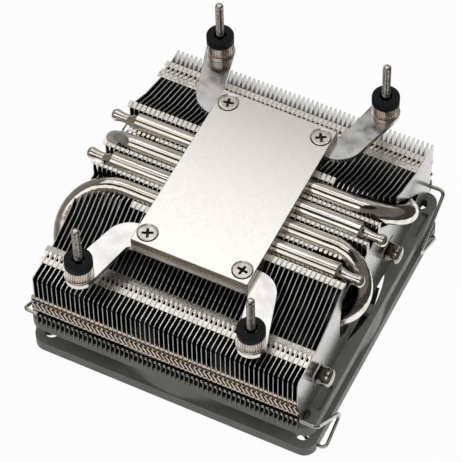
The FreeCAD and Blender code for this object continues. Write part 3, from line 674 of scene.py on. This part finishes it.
# Painted reflection: the domed ends take this darker nickel colour in place of the dark
# surroundings they would mirror.
stained_nickel = make_finish(
    "stained_nickel",
    (0.58, 0.53, 0.47),
    (0.36, 0.32, 0.28),
    (300, 300, 300),
    1.0,
    (0.10, 0.18),
    (420, 420, 420),
    ((900, 900, 900), 1e-5),
)
UPPER_Z, LOWER_Z = -5.75, -26.0
BETWEEN_RUNS_Z = -16
PIPE_RUNS = {1: (11.7, 33.0, -1), 2: (3.9, 14.5, 1), 3: (-3.9, -14.5, -1), 4: (-11.7, -33.0, 1)}
NOSE_SHAPE = (
    (37.8, 3.0),
    (38.1, 2.92),
    (38.35, 2.4),
    (38.6, 2.2),
    (39.8, 1.85),
    (41.2, 1.46),
    (42.6, 1.44),
    (43.6, 1.62),
    (44.5, 1.86),
    (45.2, 1.82),
    (45.8, 1.5),
    (46.12, 1.0),
    (46.3, 0.4),
)
CAP_SHAPE = ((41.6, 2.9), (45.2, 2.9), (45.9, 2.75), (46.35, 2.35), (46.6, 1.7), (46.7, 0.8))
ROUND_STEPS = 32
for number, (upper_y, lower_y, noses) in PIPE_RUNS.items():
    pipe = merged_copy(f"heatpipe_{number}_dressed", f"heatpipe_{number}", 35)
    drawn = bmesh.new()
    drawn.from_mesh(pipe.data)
    for reach, _ in NOSE_SHAPE:
        bmesh.ops.bisect_plane(
            drawn,
            geom=drawn.verts[:] + drawn.edges[:] + drawn.faces[:],
            plane_co=(noses * reach * mm, 0, 0),
            plane_no=(1, 0, 0),
        )
    for vert in drawn.verts:
        reach = vert.co.x * noses / mm
        if reach < NOSE_SHAPE[0][0]:
            continue
        upper = vert.co.z > BETWEEN_RUNS_Z * mm
        axis_y, axis_z = (upper_y, UPPER_Z) if upper else (lower_y, LOWER_Z)
        radius = NOSE_SHAPE[-1][1]
        for (near, near_radius), (far, far_radius) in zip(NOSE_SHAPE, NOSE_SHAPE[1:]):
            if reach <= far:
                radius = near_radius + (far_radius - near_radius) * (reach - near) / (far - near)
                break
        off_y, off_z = vert.co.y - axis_y * mm, vert.co.z - axis_z * mm
        share = min(1.0, radius * mm / max(math.hypot(off_y, off_z), 1e-6))
        vert.co.y = axis_y * mm + off_y * share
        vert.co.z = axis_z * mm + off_z * share
    drawn.to_mesh(pipe.data)
    drawn.free()
    even_shading(pipe)
    pipe.data.materials.append(pipe_nickel)
    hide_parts(f"heatpipe_{number}")
    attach(pipe, "cooler")
    rings = []
    for reach, radius in CAP_SHAPE:
        ring = []
        for step in range(ROUND_STEPS):
            angle = 2 * math.pi * step / ROUND_STEPS
            ring.append(
                (
                    noses * reach * mm,
                    (lower_y + radius * math.cos(angle)) * mm,
                    (LOWER_Z + radius * math.sin(angle)) * mm,
                )
            )
        rings.append(ring)
    cap = put_in_scene(f"pipe_end_{number}", ring_mesh(f"pipe_end_{number}", rings))
    cap.data.shade_smooth()
    even_shading(cap)
    # The domed end takes the painted dark reflection.
    cap.data.materials.append(stained_nickel)
    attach(cap, "cooler")

# ---------------------------------------------------------------- fins
# Fifty-seven stamped aluminium sheets, threaded on the pipes. Tabs folded from each sheet
# reach over to the next one and hook into it, so that the tabs close up into bands.

fin_sheet = make_finish(
    "fin_sheet",
    (0.60, 0.59, 0.57),
    (0.50, 0.49, 0.47),
    (300, 40, 40),
    1.0,
    (0.14, 0.24),
    (300, 60, 60),
    ((900, 900, 90), 2.5e-6),
)
# Painted shade: the inner faces of the fins are coloured near black, for the shade between the
# sheets.
fin_painted_shade = make_finish(
    "fin_inner_face",
    (0.115, 0.110, 0.104),
    (0.085, 0.080, 0.076),
    (300, 40, 40),
    1.0,
    (0.30, 0.42),
    (300, 60, 60),
    ((900, 900, 90), 2.5e-6),
)
tab_bright = make_finish(
    "folded_tab",
    (0.96, 0.925, 0.86),
    (0.84, 0.80, 0.73),
    (700, 700, 700),
    1.0,
    (0.24, 0.36),
    (500, 500, 500),
    ((1600, 1600, 1600), 4e-6),
)
# Painted highlight: the edge faces take a lighter copy of the fin colour, and a rougher finish.
fin_edge = make_finish(
    "fin_edge",
    (0.86, 0.84, 0.80),
    (0.70, 0.68, 0.64),
    (300, 300, 300),
    1.0,
    (0.30, 0.40),
    (300, 300, 300),
    ((1600, 1600, 1600), 3e-6),
)
# Painted shade: the upright faces at the fin ends take a darker copy of the fin colour.
fin_flank = make_finish(
    "fin_flank",
    (0.42, 0.415, 0.40),
    (0.33, 0.325, 0.31),
    (300, 300, 300),
    1.0,
    (0.24, 0.34),
    (300, 300, 300),
    ((1600, 1600, 1600), 3e-6),
)
FIN_PITCH = 1.5
LAST_FIN = 28
ROLLED_SHARE = 0.66
END_Y, SHADE_TO_Y, FLANK_Y = 44.9, 43.6, 44.0
UPPER_END_Z, KINK_ABOVE_Z = -14.0, -22.0
END_GROWTH = 0.45
KINK_Y, KINK_Z = 46.9, -21.9
BEND_START, BEND_RADIUS, BEND_CLEAR = 29.8, 14.7, 3.5
BEND_Y, BEND_Z = 11.7, -5.75
BEND_DROP = (0.725, 0.689)


def bend_cutter(side):
    """The open space over the large bend at one end of the fins."""
    rings = []
    for reach in (31.5, 34.0, 36.5, 39.0, 41.0, 43.0):
        turned = math.asin((reach - BEND_START) / BEND_RADIUS)
        moved = BEND_RADIUS * (1 - math.cos(turned))
        y, z = BEND_Y + BEND_DROP[0] * moved, BEND_Z - BEND_DROP[1] * moved
        near, far, low, high = y - BEND_CLEAR, y + BEND_CLEAR, z - 0.4, 1.0
        corners = ((near, low), (far, low), (far, high), (near, high))
        rings.append([(side * reach * mm, side * a * mm, b * mm) for a, b in corners])
    return put_in_scene("bend_cutter", ring_mesh("bend_cutter", rings))


def cut_open(piece, cutter):
    """Takes the cutter's space out of a piece."""
    cut = piece.modifiers.new("cut", "BOOLEAN")
    cut.operation = "DIFFERENCE"
    cut.solver = "EXACT"
    cut.object = cutter
    graph = bpy.context.evaluated_depsgraph_get()
    mesh = bpy.data.meshes.new_from_object(piece.evaluated_get(graph), depsgraph=graph)
    mesh.name = piece.data.name
    piece.modifiers.remove(cut)
    piece.data = mesh
    bpy.data.objects.remove(cutter)


for stack in ("fins_middle", "fins_left", "fins_right"):
    sheets = merged_copy(f"{stack}_dressed", stack, 30)
    if stack != "fins_middle":
        cut_open(sheets, bend_cutter(-1 if stack == "fins_left" else 1))
    for vert in sheets.data.vertices:
        middle = round(vert.co.x / (FIN_PITCH * mm)) * FIN_PITCH * mm
        vert.co.x = middle + (vert.co.x - middle) * ROLLED_SHARE
        end = math.copysign(1.0, vert.co.y)
        if abs(vert.co.y) > END_Y * mm and vert.co.z > UPPER_END_Z * mm:
            vert.co.y += end * END_GROWTH * mm
        elif abs(vert.co.y) > END_Y * mm and vert.co.z > KINK_ABOVE_Z * mm:
            vert.co.y, vert.co.z = end * KINK_Y * mm, KINK_Z * mm
    split = bmesh.new()
    split.from_mesh(sheets.data)
    bmesh.ops.bisect_plane(
        split,
        geom=split.verts[:] + split.edges[:] + split.faces[:],
        plane_co=(0, SHADE_TO_Y * mm, 0),
        plane_no=(0, 1, 0),
    )
    split.to_mesh(sheets.data)
    split.free()
    for finish in (fin_sheet, fin_painted_shade, fin_edge, fin_flank):
        sheets.data.materials.append(finish)
    sheets.data.shade_flat()
    # Inner faces take the painted shade, edge faces the painted highlight, upright end faces the
    # painted shade of the flank.
    for face in sheets.data.polygons:
        outermost = abs(face.center.x) > (LAST_FIN * FIN_PITCH + 0.05) * mm
        if abs(face.normal.x) > 0.9 and not outermost and face.center.y < SHADE_TO_Y * mm:
            face.material_index = 1
        elif abs(face.normal.x) < 0.5:
            upright = abs(face.normal.y) > 0.9 and abs(face.center.y) > FLANK_Y * mm
            face.material_index = 3 if upright else 2
    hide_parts(stack)
    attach(sheets, "cooler")

# Painted shade: the sloping collar sheets take this darker copy of the tab colour, for the dark
# reflection they would show.
tab_collar = make_finish(
    "tab_collar",
    (0.78, 0.745, 0.68),
    (0.52, 0.485, 0.43),
    (700, 700, 700),
    1.0,
    (0.24, 0.36),
    (500, 500, 500),
    ((1600, 1600, 1600), 4e-6),
)
# Painted shade: the lower edges of the fins over the clip wire are coloured near black, for the
# shade there.
fin_lip = make_finish(
    "fin_lip",
    (0.16, 0.155, 0.14),
    (0.10, 0.095, 0.085),
    (700, 700, 700),
    1.0,
    (0.24, 0.36),
    (500, 500, 500),
    ((1600, 1600, 1600), 4e-6),
)
# Painted shade: a near-black brown for the sheet behind the hooked tabs, standing for the shade in
# the recess.
tab_backing = make_finish(
    "tab_backing",
    (0.075, 0.05, 0.036),
    (0.045, 0.03, 0.022),
    (700, 700, 700),
    1.0,
    (0.30, 0.44),
    (500, 500, 500),
    ((1600, 1600, 1600), 4e-6),
)
tab_warm = make_finish(
    "hooked_tab",
    (0.70, 0.60, 0.515),
    (0.48, 0.40, 0.335),
    (700, 700, 700),
    1.0,
    (0.26, 0.40),
    (500, 500, 500),
    ((1600, 1600, 1600), 4e-6),
)

row_tree, row_sockets, row_in, row_out = geometry_tree(
    "row_of_tabs",
    [
        ("Cell", OBJECT),
        ("Count", INTEGER),
        ("Start", VECTOR),
        ("Step", VECTOR),
        ("Finish", MATERIAL),
    ],
)
line = row_tree.nodes.new("GeometryNodeMeshLine")
cell_info = row_tree.nodes.new("GeometryNodeObjectInfo")
spread = row_tree.nodes.new("GeometryNodeInstanceOnPoints")
real = row_tree.nodes.new("GeometryNodeRealizeInstances")
coat = row_tree.nodes.new("GeometryNodeSetMaterial")
link = row_tree.links.new
link(row_in.outputs["Count"], line.inputs["Count"])
link(row_in.outputs["Start"], line.inputs["Start Location"])
link(row_in.outputs["Step"], line.inputs["Offset"])
link(row_in.outputs["Cell"], cell_info.inputs["Object"])
link(line.outputs["Mesh"], spread.inputs["Points"])
link(cell_info.outputs["Geometry"], spread.inputs["Instance"])
link(spread.outputs["Instances"], real.inputs["Geometry"])
link(real.outputs["Geometry"], coat.inputs["Geometry"])
link(row_in.outputs["Finish"], coat.inputs["Material"])
link(coat.outputs["Geometry"], row_out.inputs["Geometry"])


def tab_row(name, cell, first, last, finish):
    """Repeats a cell on every fin from one number to another. The middle fin is number 0."""
    piece = grown_piece(
        name,
        bpy.data.meshes.new(f"{name}_seed"),
        row_tree,
        row_sockets,
        {
            "Cell": cell,
            "Count": last - first + 1,
            "Start": [first * FIN_PITCH * mm, 0.0, 0.0],
            "Step": [FIN_PITCH * mm, 0.0, 0.0],
            "Finish": finish,
        },
    )
    bpy.data.objects.remove(cell)
    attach(piece, "cooler")
    return piece


def block(mesh, x0, x1, y0, y1, z0, z1):
    """Adds a rectangular block."""
    y0, y1 = sorted((y0, y1))
    prism(mesh, [(x0, y0), (x1, y0), (x1, y1), (x0, y1)], z0, z1)


def strip(mesh, outline, low, high):
    """Adds a prism over an outline in X and Z, between two places along Y."""
    near = [mesh.verts.new((x * mm, low * mm, z * mm)) for x, z in outline]
    far = [mesh.verts.new((x * mm, high * mm, z * mm)) for x, z in outline]
    mesh.faces.new(near)
    mesh.faces.new(list(reversed(far)))
    count = len(outline)
    for step in range(count):
        after = (step + 1) % count
        mesh.faces.new((near[step], near[after], far[after], far[step]))


def ramp(mesh, x0, x1, y0, z0, y1, z1, depth):
    """Adds a sloping strip, from one edge along X to another."""
    top = [(x0, y0, z0), (x1, y0, z0), (x1, y1, z1), (x0, y1, z1)]
    upper = [mesh.verts.new((x * mm, y * mm, z * mm)) for x, y, z in top]
    lower = [mesh.verts.new((x * mm, y * mm, (z - depth) * mm)) for x, y, z in top]
    mesh.faces.new(upper)
    mesh.faces.new(list(reversed(lower)))
    for step in range(4):
        after = (step + 1) % 4
        mesh.faces.new((upper[step], upper[after], lower[after], lower[step]))


def shoulder_cell(side):
    """The hooked tab on the shoulder of a fin."""

    def build(mesh):
        block(mesh, -1.22, -0.02, side * 38.9, side * 40.9, -12.5, -12.05)
        block(mesh, -0.14, 0.18, side * 41.5, side * 41.9, -12.5, -12.12)
        for outline in (
            [(-1.25, 36.7), (-0.38, 36.7), (-0.2, 37.8), (-1.02, 37.8)],
            [(-0.4, 38.9), (-0.02, 38.9), (-0.34, 37.8), (-0.72, 37.8)],
        ):
            prism(mesh, [(x, side * y) for x, y in outline], -12.5, -12.05)

    return build


def shoulder_collar(side):
    """The sloping sheet inside the shoulder tab, with two small lugs."""

    def build(mesh):
        ramp(mesh, -1.44, 0.0, side * 36.6, -12.15, side * 34.6, -12.25, 0.3)
        block(mesh, -1.3, -0.8, side * 35.9, side * 36.35, -12.4, -12.05)
        block(mesh, -0.6, -0.15, side * 35.2, side * 35.65, -12.4, -12.08)

    return build


for side, label in ((-1, "front"), (1, "back")):
    cell = cell_object(f"shoulder_tab_{label}", shoulder_cell(side))
    tab_row(f"shoulder_tabs_{label}", cell, -LAST_FIN, LAST_FIN, tab_bright)
    # The collars take the painted shade finish.
    cell = cell_object(f"shoulder_collar_{label}", shoulder_collar(side))
    tab_row(f"shoulder_collars_{label}", cell, -LAST_FIN, LAST_FIN, tab_collar)


def root_cell(side):
    """The plain folded tab beside the outer pipes."""

    def build(mesh):
        block(mesh, -1.16, -0.08, side * 15.1, side * 17.4, -4.6, -4.2)

    return build


def bead_cell(middle):
    """The small eight-sided tab between two pipes."""

    def build(mesh):
        corners = [(-1.2, -0.36), (-1.0, -0.58), (-0.42, -0.58), (-0.22, -0.36)]
        corners += [(x, -y) for x, y in reversed(corners)]
        prism(mesh, [(x, middle + y) for x, y in corners], -4.5, -4.15)

    return build


ROOT_ROWS = (
    ("outer_back", root_cell(1), -LAST_FIN, -13),
    ("outer_back_stub", root_cell(1), 13, 16),
    ("upper_left", bead_cell(7.6), -25, -13),
    ("upper_right", bead_cell(7.6), 13, LAST_FIN),
    ("middle_left", bead_cell(0.0), -LAST_FIN, -13),
    ("middle_right", bead_cell(0.0), 13, LAST_FIN),
    ("lower_left", bead_cell(-7.6), -LAST_FIN, -13),
    ("lower_right", bead_cell(-7.6), 13, 25),
    ("outer_front", root_cell(-1), 13, LAST_FIN),
    ("outer_front_stub", root_cell(-1), -16, -13),
)
for label, build, first, last in ROOT_ROWS:
    cell = cell_object(f"root_tab_{label}", build)
    tab_row(f"root_tabs_{label}", cell, first, last, tab_bright)


def slope_cell(side):
    """The small point where the slope of a fin turns."""

    def build(mesh):
        block(mesh, -0.14, 0.24, side * 32.3, side * 32.9, -11.9, -11.15)

    return build


for side, label in ((-1, "front"), (1, "back")):
    cell = cell_object(f"slope_tab_{label}", slope_cell(side))
    tab_row(f"slope_tabs_{label}", cell, -11, 11, tab_bright)


def end_cell(side):
    """The hooked tabs at the end of a fin, over its lower half."""

    def build(mesh):
        face, back, proud = side * 46.9, side * 46.3, side * 47.1
        crown = [(-1.3, -22.9), (-1.3, -22.3), (-1.0, -21.7)]
        crown += [(-0.5, -21.7), (-0.16, -22.3), (-0.16, -22.9)]
        strip(mesh, crown, face, back)
        strip(mesh, [(-0.15, -22.1), (0.16, -22.1), (0.22, -21.1), (-0.1, -21.1)], face, back)
        knob = []
        for step in range(8):
            angle = 2 * math.pi * (step + 0.5) / 8
            knob.append((-0.6 + 0.32 * math.cos(angle), -24.1 + 0.42 * math.sin(angle)))
        strip(mesh, knob, proud, back)
        strip(mesh, [(-1.45, -25.3), (-0.98, -25.0), (0.46, -27.5), (-0.02, -27.9)], face, back)
        strip(mesh, [(-1.2, -28.5), (-1.42, -27.9), (0.02, -27.9), (0.02, -28.5)], face, back)

    return build


def end_painted_shade_sheet(side):
    """A dark sheet behind the hooked tabs, put there as painted shade."""

    def build(mesh):
        outline = [(-1.47, -28.2), (-1.47, -22.7), (0.03, -22.7), (0.03, -28.2)]
        strip(mesh, outline, side * 46.6, side * 46.3)

    return build


# The comb cells are given the painted shade finish of the fin lips.
def comb_cell(side):
    """The lower edge of a fin, which stands out over the clip wire and bends to one side."""

    def build(mesh):
        tooth = [(-0.12, -30.6), (0.12, -30.6), (0.38, -32.4), (0.16, -33.8), (0.12, -36.1)]
        tooth += [(-0.22, -36.1), (-0.14, -33.8), (0.1, -32.4)]
        strip(mesh, tooth, side * 47.1, side * 46.1)
        root = [(-0.13, -35.9), (-0.13, -30.0), (0.12, -30.0), (0.12, -35.9)]
        strip(mesh, root, side * 46.1, side * 44.6)

    return build


for side, label in ((-1, "front"), (1, "back")):
    # The backing sheet and the comb take painted shade finishes.
    for kind, build, finish in (
        ("hooked_tabs", end_cell(side), tab_warm),
        ("tab_backing", end_painted_shade_sheet(side), tab_backing),
        ("fin_comb", comb_cell(side), fin_lip),
    ):
        cell = cell_object(f"{kind}_{label}_cell", build)
        tab_row(f"{kind}_{label}", cell, -LAST_FIN, LAST_FIN, finish)


def window_collar(side, y):
    """A square washer of sheet that closes the last fin's window round a pipe."""

    def build(mesh):
        layers = []
        for x in (42.0, 42.35):
            for radius, square in ((2.92, False), (3.5, True)):
                ring = []
                for step in range(ROUND_STEPS):
                    angle = 2 * math.pi * step / ROUND_STEPS
                    across, up = math.cos(angle), math.sin(angle)
                    size = radius / max(abs(across), abs(up)) if square else radius
                    place = (side * x * mm, (y + size * across) * mm, (LOWER_Z + size * up) * mm)
                    ring.append(mesh.verts.new(place))
                layers.append(ring)
        inner_near, outer_near, inner_far, outer_far = layers
        for step in range(ROUND_STEPS):
            after = (step + 1) % ROUND_STEPS
            for low, high in (
                (inner_near, outer_near),
                (outer_near, outer_far),
                (outer_far, inner_far),
                (inner_far, inner_near),
            ):
                mesh.faces.new((low[step], low[after], high[after], high[step]))

    return build


for number, (_, lower_y, noses) in PIPE_RUNS.items():
    collar = cell_object(f"window_collar_{number}", window_collar(noses, lower_y))
    collar.data.materials.append(fin_sheet)
    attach(collar, "cooler")

# ---------------------------------------------------------------- fan frame
# A moulded frame of warm grey plastic, with a fine eroded texture. It carries the motor on
# four struts at the fin side.

frame_plastic = make_finish(
    "frame_plastic",
    (0.150, 0.150, 0.137),
    (0.128, 0.128, 0.116),
    (120, 120, 120),
    0.0,
    (0.34, 0.46),
    (200, 200, 200),
    ((6000, 6000, 6000), 6e-6),
)
frame_plastic.node_tree.nodes["Principled BSDF"].inputs["Specular IOR Level"].default_value = 0.3
fan_frame = merged_copy("fan_frame_dressed", "fan_frame", 30)
fan_frame.data.materials.append(frame_plastic)
rounded_edges(fan_frame, 0.2, 60)
even_shading(fan_frame)
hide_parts("fan_frame")
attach(fan_frame, "cooler")

# ---------------------------------------------------------------- motor, fixed side
# The stator on its boss: a lacquered board, a stamped steel core, four enamelled coils, a
# sintered sleeve bearing and a plastic thrust pad.

board_lacquer = make_finish(
    "board_lacquer",
    (0.02, 0.12, 0.05),
    (0.03, 0.16, 0.07),
    (300, 300, 300),
    0.0,
    (0.25, 0.4),
    (300, 300, 300),
    ((2000, 2000, 2000), 8e-6),
)
paint_nodes(board_lacquer, "circuit_board")
core_steel = make_finish(
    "core_steel",
    (0.42, 0.42, 0.43),
    (0.34, 0.34, 0.35),
    (200, 200, 3000),
    1.0,
    (0.35, 0.5),
    (400, 400, 400),
    ((300, 300, 9000), 1.2e-5),
)
paint_nodes(core_steel, "stator_core")
coil_wire = make_finish(
    "coil_wire",
    (0.52, 0.20, 0.08),
    (0.42, 0.15, 0.06),
    (500, 500, 500),
    0.8,
    (0.28, 0.4),
    (400, 400, 400),
    ((4200, 4200, 4200), 4e-5),
)
paint_nodes(coil_wire, "stator_coil_1", "stator_coil_2", "stator_coil_3", "stator_coil_4")
sleeve_bronze = make_finish(
    "sleeve_bronze",
    (0.48, 0.32, 0.16),
    (0.36, 0.24, 0.12),
    (2500, 2500, 2500),
    1.0,
    (0.4, 0.6),
    (900, 900, 900),
    ((5000, 5000, 5000), 1e-5),
)
paint_nodes(sleeve_bronze, "bearing_sleeve")
pad_plastic = make_finish(
    "pad_plastic",
    (0.72, 0.72, 0.69),
    (0.66, 0.66, 0.63),
    (400, 400, 400),
    0.0,
    (0.3, 0.45),
    (400, 400, 400),
    ((2500, 2500, 2500), 4e-6),
)
paint_nodes(pad_plastic, "thrust_pad")

# ---------------------------------------------------------------- impeller and rotor
# A moulded dark impeller with nine blades. A drawn steel yoke and a bonded magnet ring are
# pressed into its hub, and the ground shaft is held in by a slotted clip.

impeller_plastic = make_finish(
    "impeller_plastic",
    (0.040, 0.040, 0.041),
    (0.030, 0.030, 0.031),
    (80, 80, 80),
    0.0,
    (0.28, 0.42),
    (160, 160, 160),
    ((3000, 3000, 3000), 5e-6),
)
impeller = merged_copy("impeller_dressed", "impeller", 32)
impeller.data.materials.append(impeller_plastic)
even_shading(impeller)
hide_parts("impeller")
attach(impeller, "rotor")
yoke_steel = make_finish(
    "yoke_steel",
    (0.60, 0.60, 0.59),
    (0.52, 0.52, 0.51),
    (200, 200, 1200),
    1.0,
    (0.25, 0.38),
    (300, 300, 300),
    ((400, 400, 4000), 4e-6),
)
paint_nodes(yoke_steel, "rotor_yoke")
bonded_magnet = make_finish(
    "bonded_magnet",
    (0.045, 0.045, 0.047),
    (0.06, 0.06, 0.062),
    (1500, 1500, 1500),
    0.0,
    (0.5, 0.68),
    (900, 900, 900),
    ((4500, 4500, 4500), 1e-5),
)
paint_nodes(bonded_magnet, "magnet_ring")
ground_steel = make_finish(
    "ground_steel",
    (0.72, 0.72, 0.72),
    (0.66, 0.66, 0.66),
    (400, 400, 2500),
    1.0,
    (0.1, 0.2),
    (500, 500, 500),
    ((500, 500, 9000), 1.5e-6),
)
paint_nodes(ground_steel, "rotor_shaft")
paint_nodes(pad_plastic, "shaft_clip")

# ---------------------------------------------------------------- fan clips
# Two clips of bright drawn spring wire. Each lies on a ledge of the fins, runs down beside the
# fan and hooks into its corner holes.

drawn_wire = make_finish(
    "drawn_wire",
    (0.66, 0.635, 0.59),
    (0.50, 0.475, 0.435),
    (60, 400, 400),
    1.0,
    (0.12, 0.22),
    (200, 200, 200),
    ((900, 2500, 2500), 3e-6),
)
WIRE_THINNER = 0.12
LEDGE_END_X, LEDGE_EASE = 44.0, 2.5
WIRE_INWARD, WIRE_RAISED = 0.7, 0.6
for side in ("front", "back"):
    clip = merged_copy(f"fan_clip_{side}_dressed", f"fan_clip_{side}", 40)
    for vert in clip.data.vertices:
        vert.co -= vert.normal * WIRE_THINNER * mm
        inside = min(max((LEDGE_END_X - abs(vert.co.x) / mm) / LEDGE_EASE, 0.0), 1.0)
        vert.co.y -= math.copysign(WIRE_INWARD * mm * inside, vert.co.y)
        vert.co.z += WIRE_RAISED * mm * inside
    clip.data.materials.append(drawn_wire)
    even_shading(clip)
    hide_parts(f"fan_clip_{side}")
    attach(clip, "cooler")

# ---------------------------------------------------------------- stage
# A flat pale table that is clear from below, a tent of black and grey cloth that only bright
# metal mirrors, long soft lamps inside it, and a camera in front, to the right and above.

floor_z = -51.05 * mm
TABLE_RADIUS, TENT_HEM, TENT_RADIUS, TENT_TOP = 3.0, 0.10, 1.3, 1.5


def ring_of_points(mesh, radius, z, count):
    """Adds a ring of points about the Z axis."""
    points = []
    for step in range(count):
        angle = 2 * math.pi * step / count
        points.append(mesh.verts.new((radius * math.cos(angle), radius * math.sin(angle), z)))
    return points


def band_between(mesh, first, second):
    """Adds the faces between two rings of points."""
    for step in range(len(first)):
        after = (step + 1) % len(first)
        mesh.faces.new((first[step], first[after], second[after], second[step]))


def stage_piece(name, mesh, material):
    """A piece of the stage, which isn't part of the object."""
    data = bpy.data.meshes.new(name)
    mesh.to_mesh(data)
    mesh.free()
    data.materials.append(material)
    piece = put_in_scene(name, data)
    return piece


card = bpy.data.materials.new("white_card")
card.use_nodes = True
tree = card.node_tree
shader = tree.nodes["Principled BSDF"]
shader.inputs["Base Color"].default_value = (0.36, 0.36, 0.36, 1)
shader.inputs["Roughness"].default_value = 0.9
shader.inputs["Specular IOR Level"].default_value = 0.1


def seen_directly(tree):
    """One for a camera, glossy or transmission ray, and nought for the others."""
    path = tree.nodes.new("ShaderNodeLightPath")
    first = tree.nodes.new("ShaderNodeMath")
    first.operation = "MAXIMUM"
    second = tree.nodes.new("ShaderNodeMath")
    second.operation = "MAXIMUM"
    tree.links.new(path.outputs["Is Camera Ray"], first.inputs[0])
    tree.links.new(path.outputs["Is Glossy Ray"], first.inputs[1])
    tree.links.new(first.outputs[0], second.inputs[0])
    tree.links.new(path.outputs["Is Transmission Ray"], second.inputs[1])
    return second.outputs[0]


glow = tree.nodes.new("ShaderNodeEmission")
glow.inputs["Strength"].default_value = 1.0
share = tree.nodes.new("ShaderNodeMath")
share.operation = "MULTIPLY"
share.inputs[1].default_value = 0.97
blend = tree.nodes.new("ShaderNodeMixShader")
tree.links.new(seen_directly(tree), share.inputs[0])
tree.links.new(share.outputs[0], blend.inputs["Fac"])
tree.links.new(shader.outputs["BSDF"], blend.inputs[1])
tree.links.new(glow.outputs["Emission"], blend.inputs[2])
under = tree.nodes.new("ShaderNodeMixShader")
side_seen = tree.nodes.new("ShaderNodeNewGeometry")
clear = tree.nodes.new("ShaderNodeBsdfTransparent")
tree.links.new(side_seen.outputs["Backfacing"], under.inputs["Fac"])
tree.links.new(blend.outputs["Shader"], under.inputs[1])
tree.links.new(clear.outputs["BSDF"], under.inputs[2])
tree.links.new(under.outputs["Shader"], tree.nodes["Material Output"].inputs["Surface"])
top = bmesh.new()
top.faces.new(ring_of_points(top, TABLE_RADIUS, floor_z, 64))
stage_piece("table", top, card)


def tent_cloth(name, shade):
    """A matt cloth of one shade."""
    cloth = bpy.data.materials.new(name)
    cloth.use_nodes = True
    shader = cloth.node_tree.nodes["Principled BSDF"]
    shader.inputs["Base Color"].default_value = (shade, shade * 0.97, shade * 0.92, 1)
    shader.inputs["Roughness"].default_value = 1.0
    shader.inputs["Specular IOR Level"].default_value = 0.0
    return cloth


drape = bmesh.new()
hem = ring_of_points(drape, TENT_HEM, floor_z + 0.001, 48)
foot = ring_of_points(drape, TENT_RADIUS, floor_z + 0.001, 48)
head = ring_of_points(drape, TENT_RADIUS, TENT_TOP, 48)
band_between(drape, hem, foot)
band_between(drape, foot, head)
drape.faces.new(head)
tent = stage_piece("tent", drape, tent_cloth("black_cloth", 0.05))
tent.data.materials.append(tent_cloth("grey_cloth", 0.3))
for face in tent.data.polygons:
    if 0.0 < face.center.z < 1.4 or (face.center.x < -0.2 and face.center.z < 0.0):
        face.material_index = 1
tent.visible_camera = False
tent.visible_diffuse = False
tent.visible_transmission = False
tent.visible_shadow = False

room = bpy.data.worlds.new("room")
room.use_nodes = True
tree = room.node_tree
ambient = tree.nodes["Background"]
ambient.inputs["Color"].default_value = (0.42, 0.42, 0.42, 1)
ambient.inputs["Strength"].default_value = 1.0
white = tree.nodes.new("ShaderNodeBackground")
white.inputs["Color"].default_value = (1, 1, 1, 1)
white.inputs["Strength"].default_value = 1.0
blend = tree.nodes.new("ShaderNodeMixShader")
tree.links.new(seen_directly(tree), blend.inputs["Fac"])
tree.links.new(ambient.outputs["Background"], blend.inputs[1])
tree.links.new(white.outputs["Background"], blend.inputs[2])
tree.links.new(blend.outputs["Shader"], tree.nodes["World Output"].inputs["Surface"])
bpy.context.scene.world = room


LAMP_LENGTH, LAMP_MIDDLE_X = 1.3, -0.28


def long_lamp(name, low_angle, high_angle, brightness):
    """A long soft lamp along X. Its angles run from straight up towards the back."""
    tilt = math.radians((low_angle + high_angle) / 2)
    across = 2 * math.tan(math.radians(high_angle - low_angle) / 2)
    data = bpy.data.lights.new(name, "AREA")
    data.shape = "RECTANGLE"
    data.size = LAMP_LENGTH
    data.size_y = across
    data.energy = brightness * math.pi * LAMP_LENGTH * across
    lamp = put_in_scene(name, data)
    lamp.location = (LAMP_MIDDLE_X, math.sin(tilt), math.cos(tilt))
    lamp.rotation_euler = (-tilt, 0.0, 0.0)
    lamp.visible_camera = False


long_lamp("lamp_back", 18, 35.3, 1.34)
long_lamp("lamp_far_back", 43, 51, 0.5)
long_lamp("lamp_low_back", 58, 84, 0.34)
long_lamp("lamp_top", -5, 13, 0.9)
long_lamp("lamp_front", -57, -27, 1.0)

fill = bpy.data.lights.new("lamp_fill", "AREA")
fill.shape = "SQUARE"
fill.size = 0.8
fill.energy = 2.0 * math.pi * 0.64
fill_lamp = put_in_scene("lamp_fill", fill)
fill_lamp.location = (0.80, 0.05, 0.70)
fill_lamp.rotation_euler = Vector(fill_lamp.location).to_track_quat("Z", "Y").to_euler()
fill_lamp.visible_camera = False
fill_lamp.visible_glossy = False

eye = bpy.data.cameras.new("camera")
eye.sensor_width = 36.0
eye.lens = 222.16
eye.clip_start = 0.05
eye.clip_end = 10.0
camera = put_in_scene("camera", eye)
camera.location = (0.2243, -0.4323, 0.6592)
camera.rotation_euler = [math.radians(angle) for angle in (35.5126, 1.0193, 26.1859)]
bpy.context.scene.camera = camera
bpy.context.scene.view_settings.view_transform = "Standard"
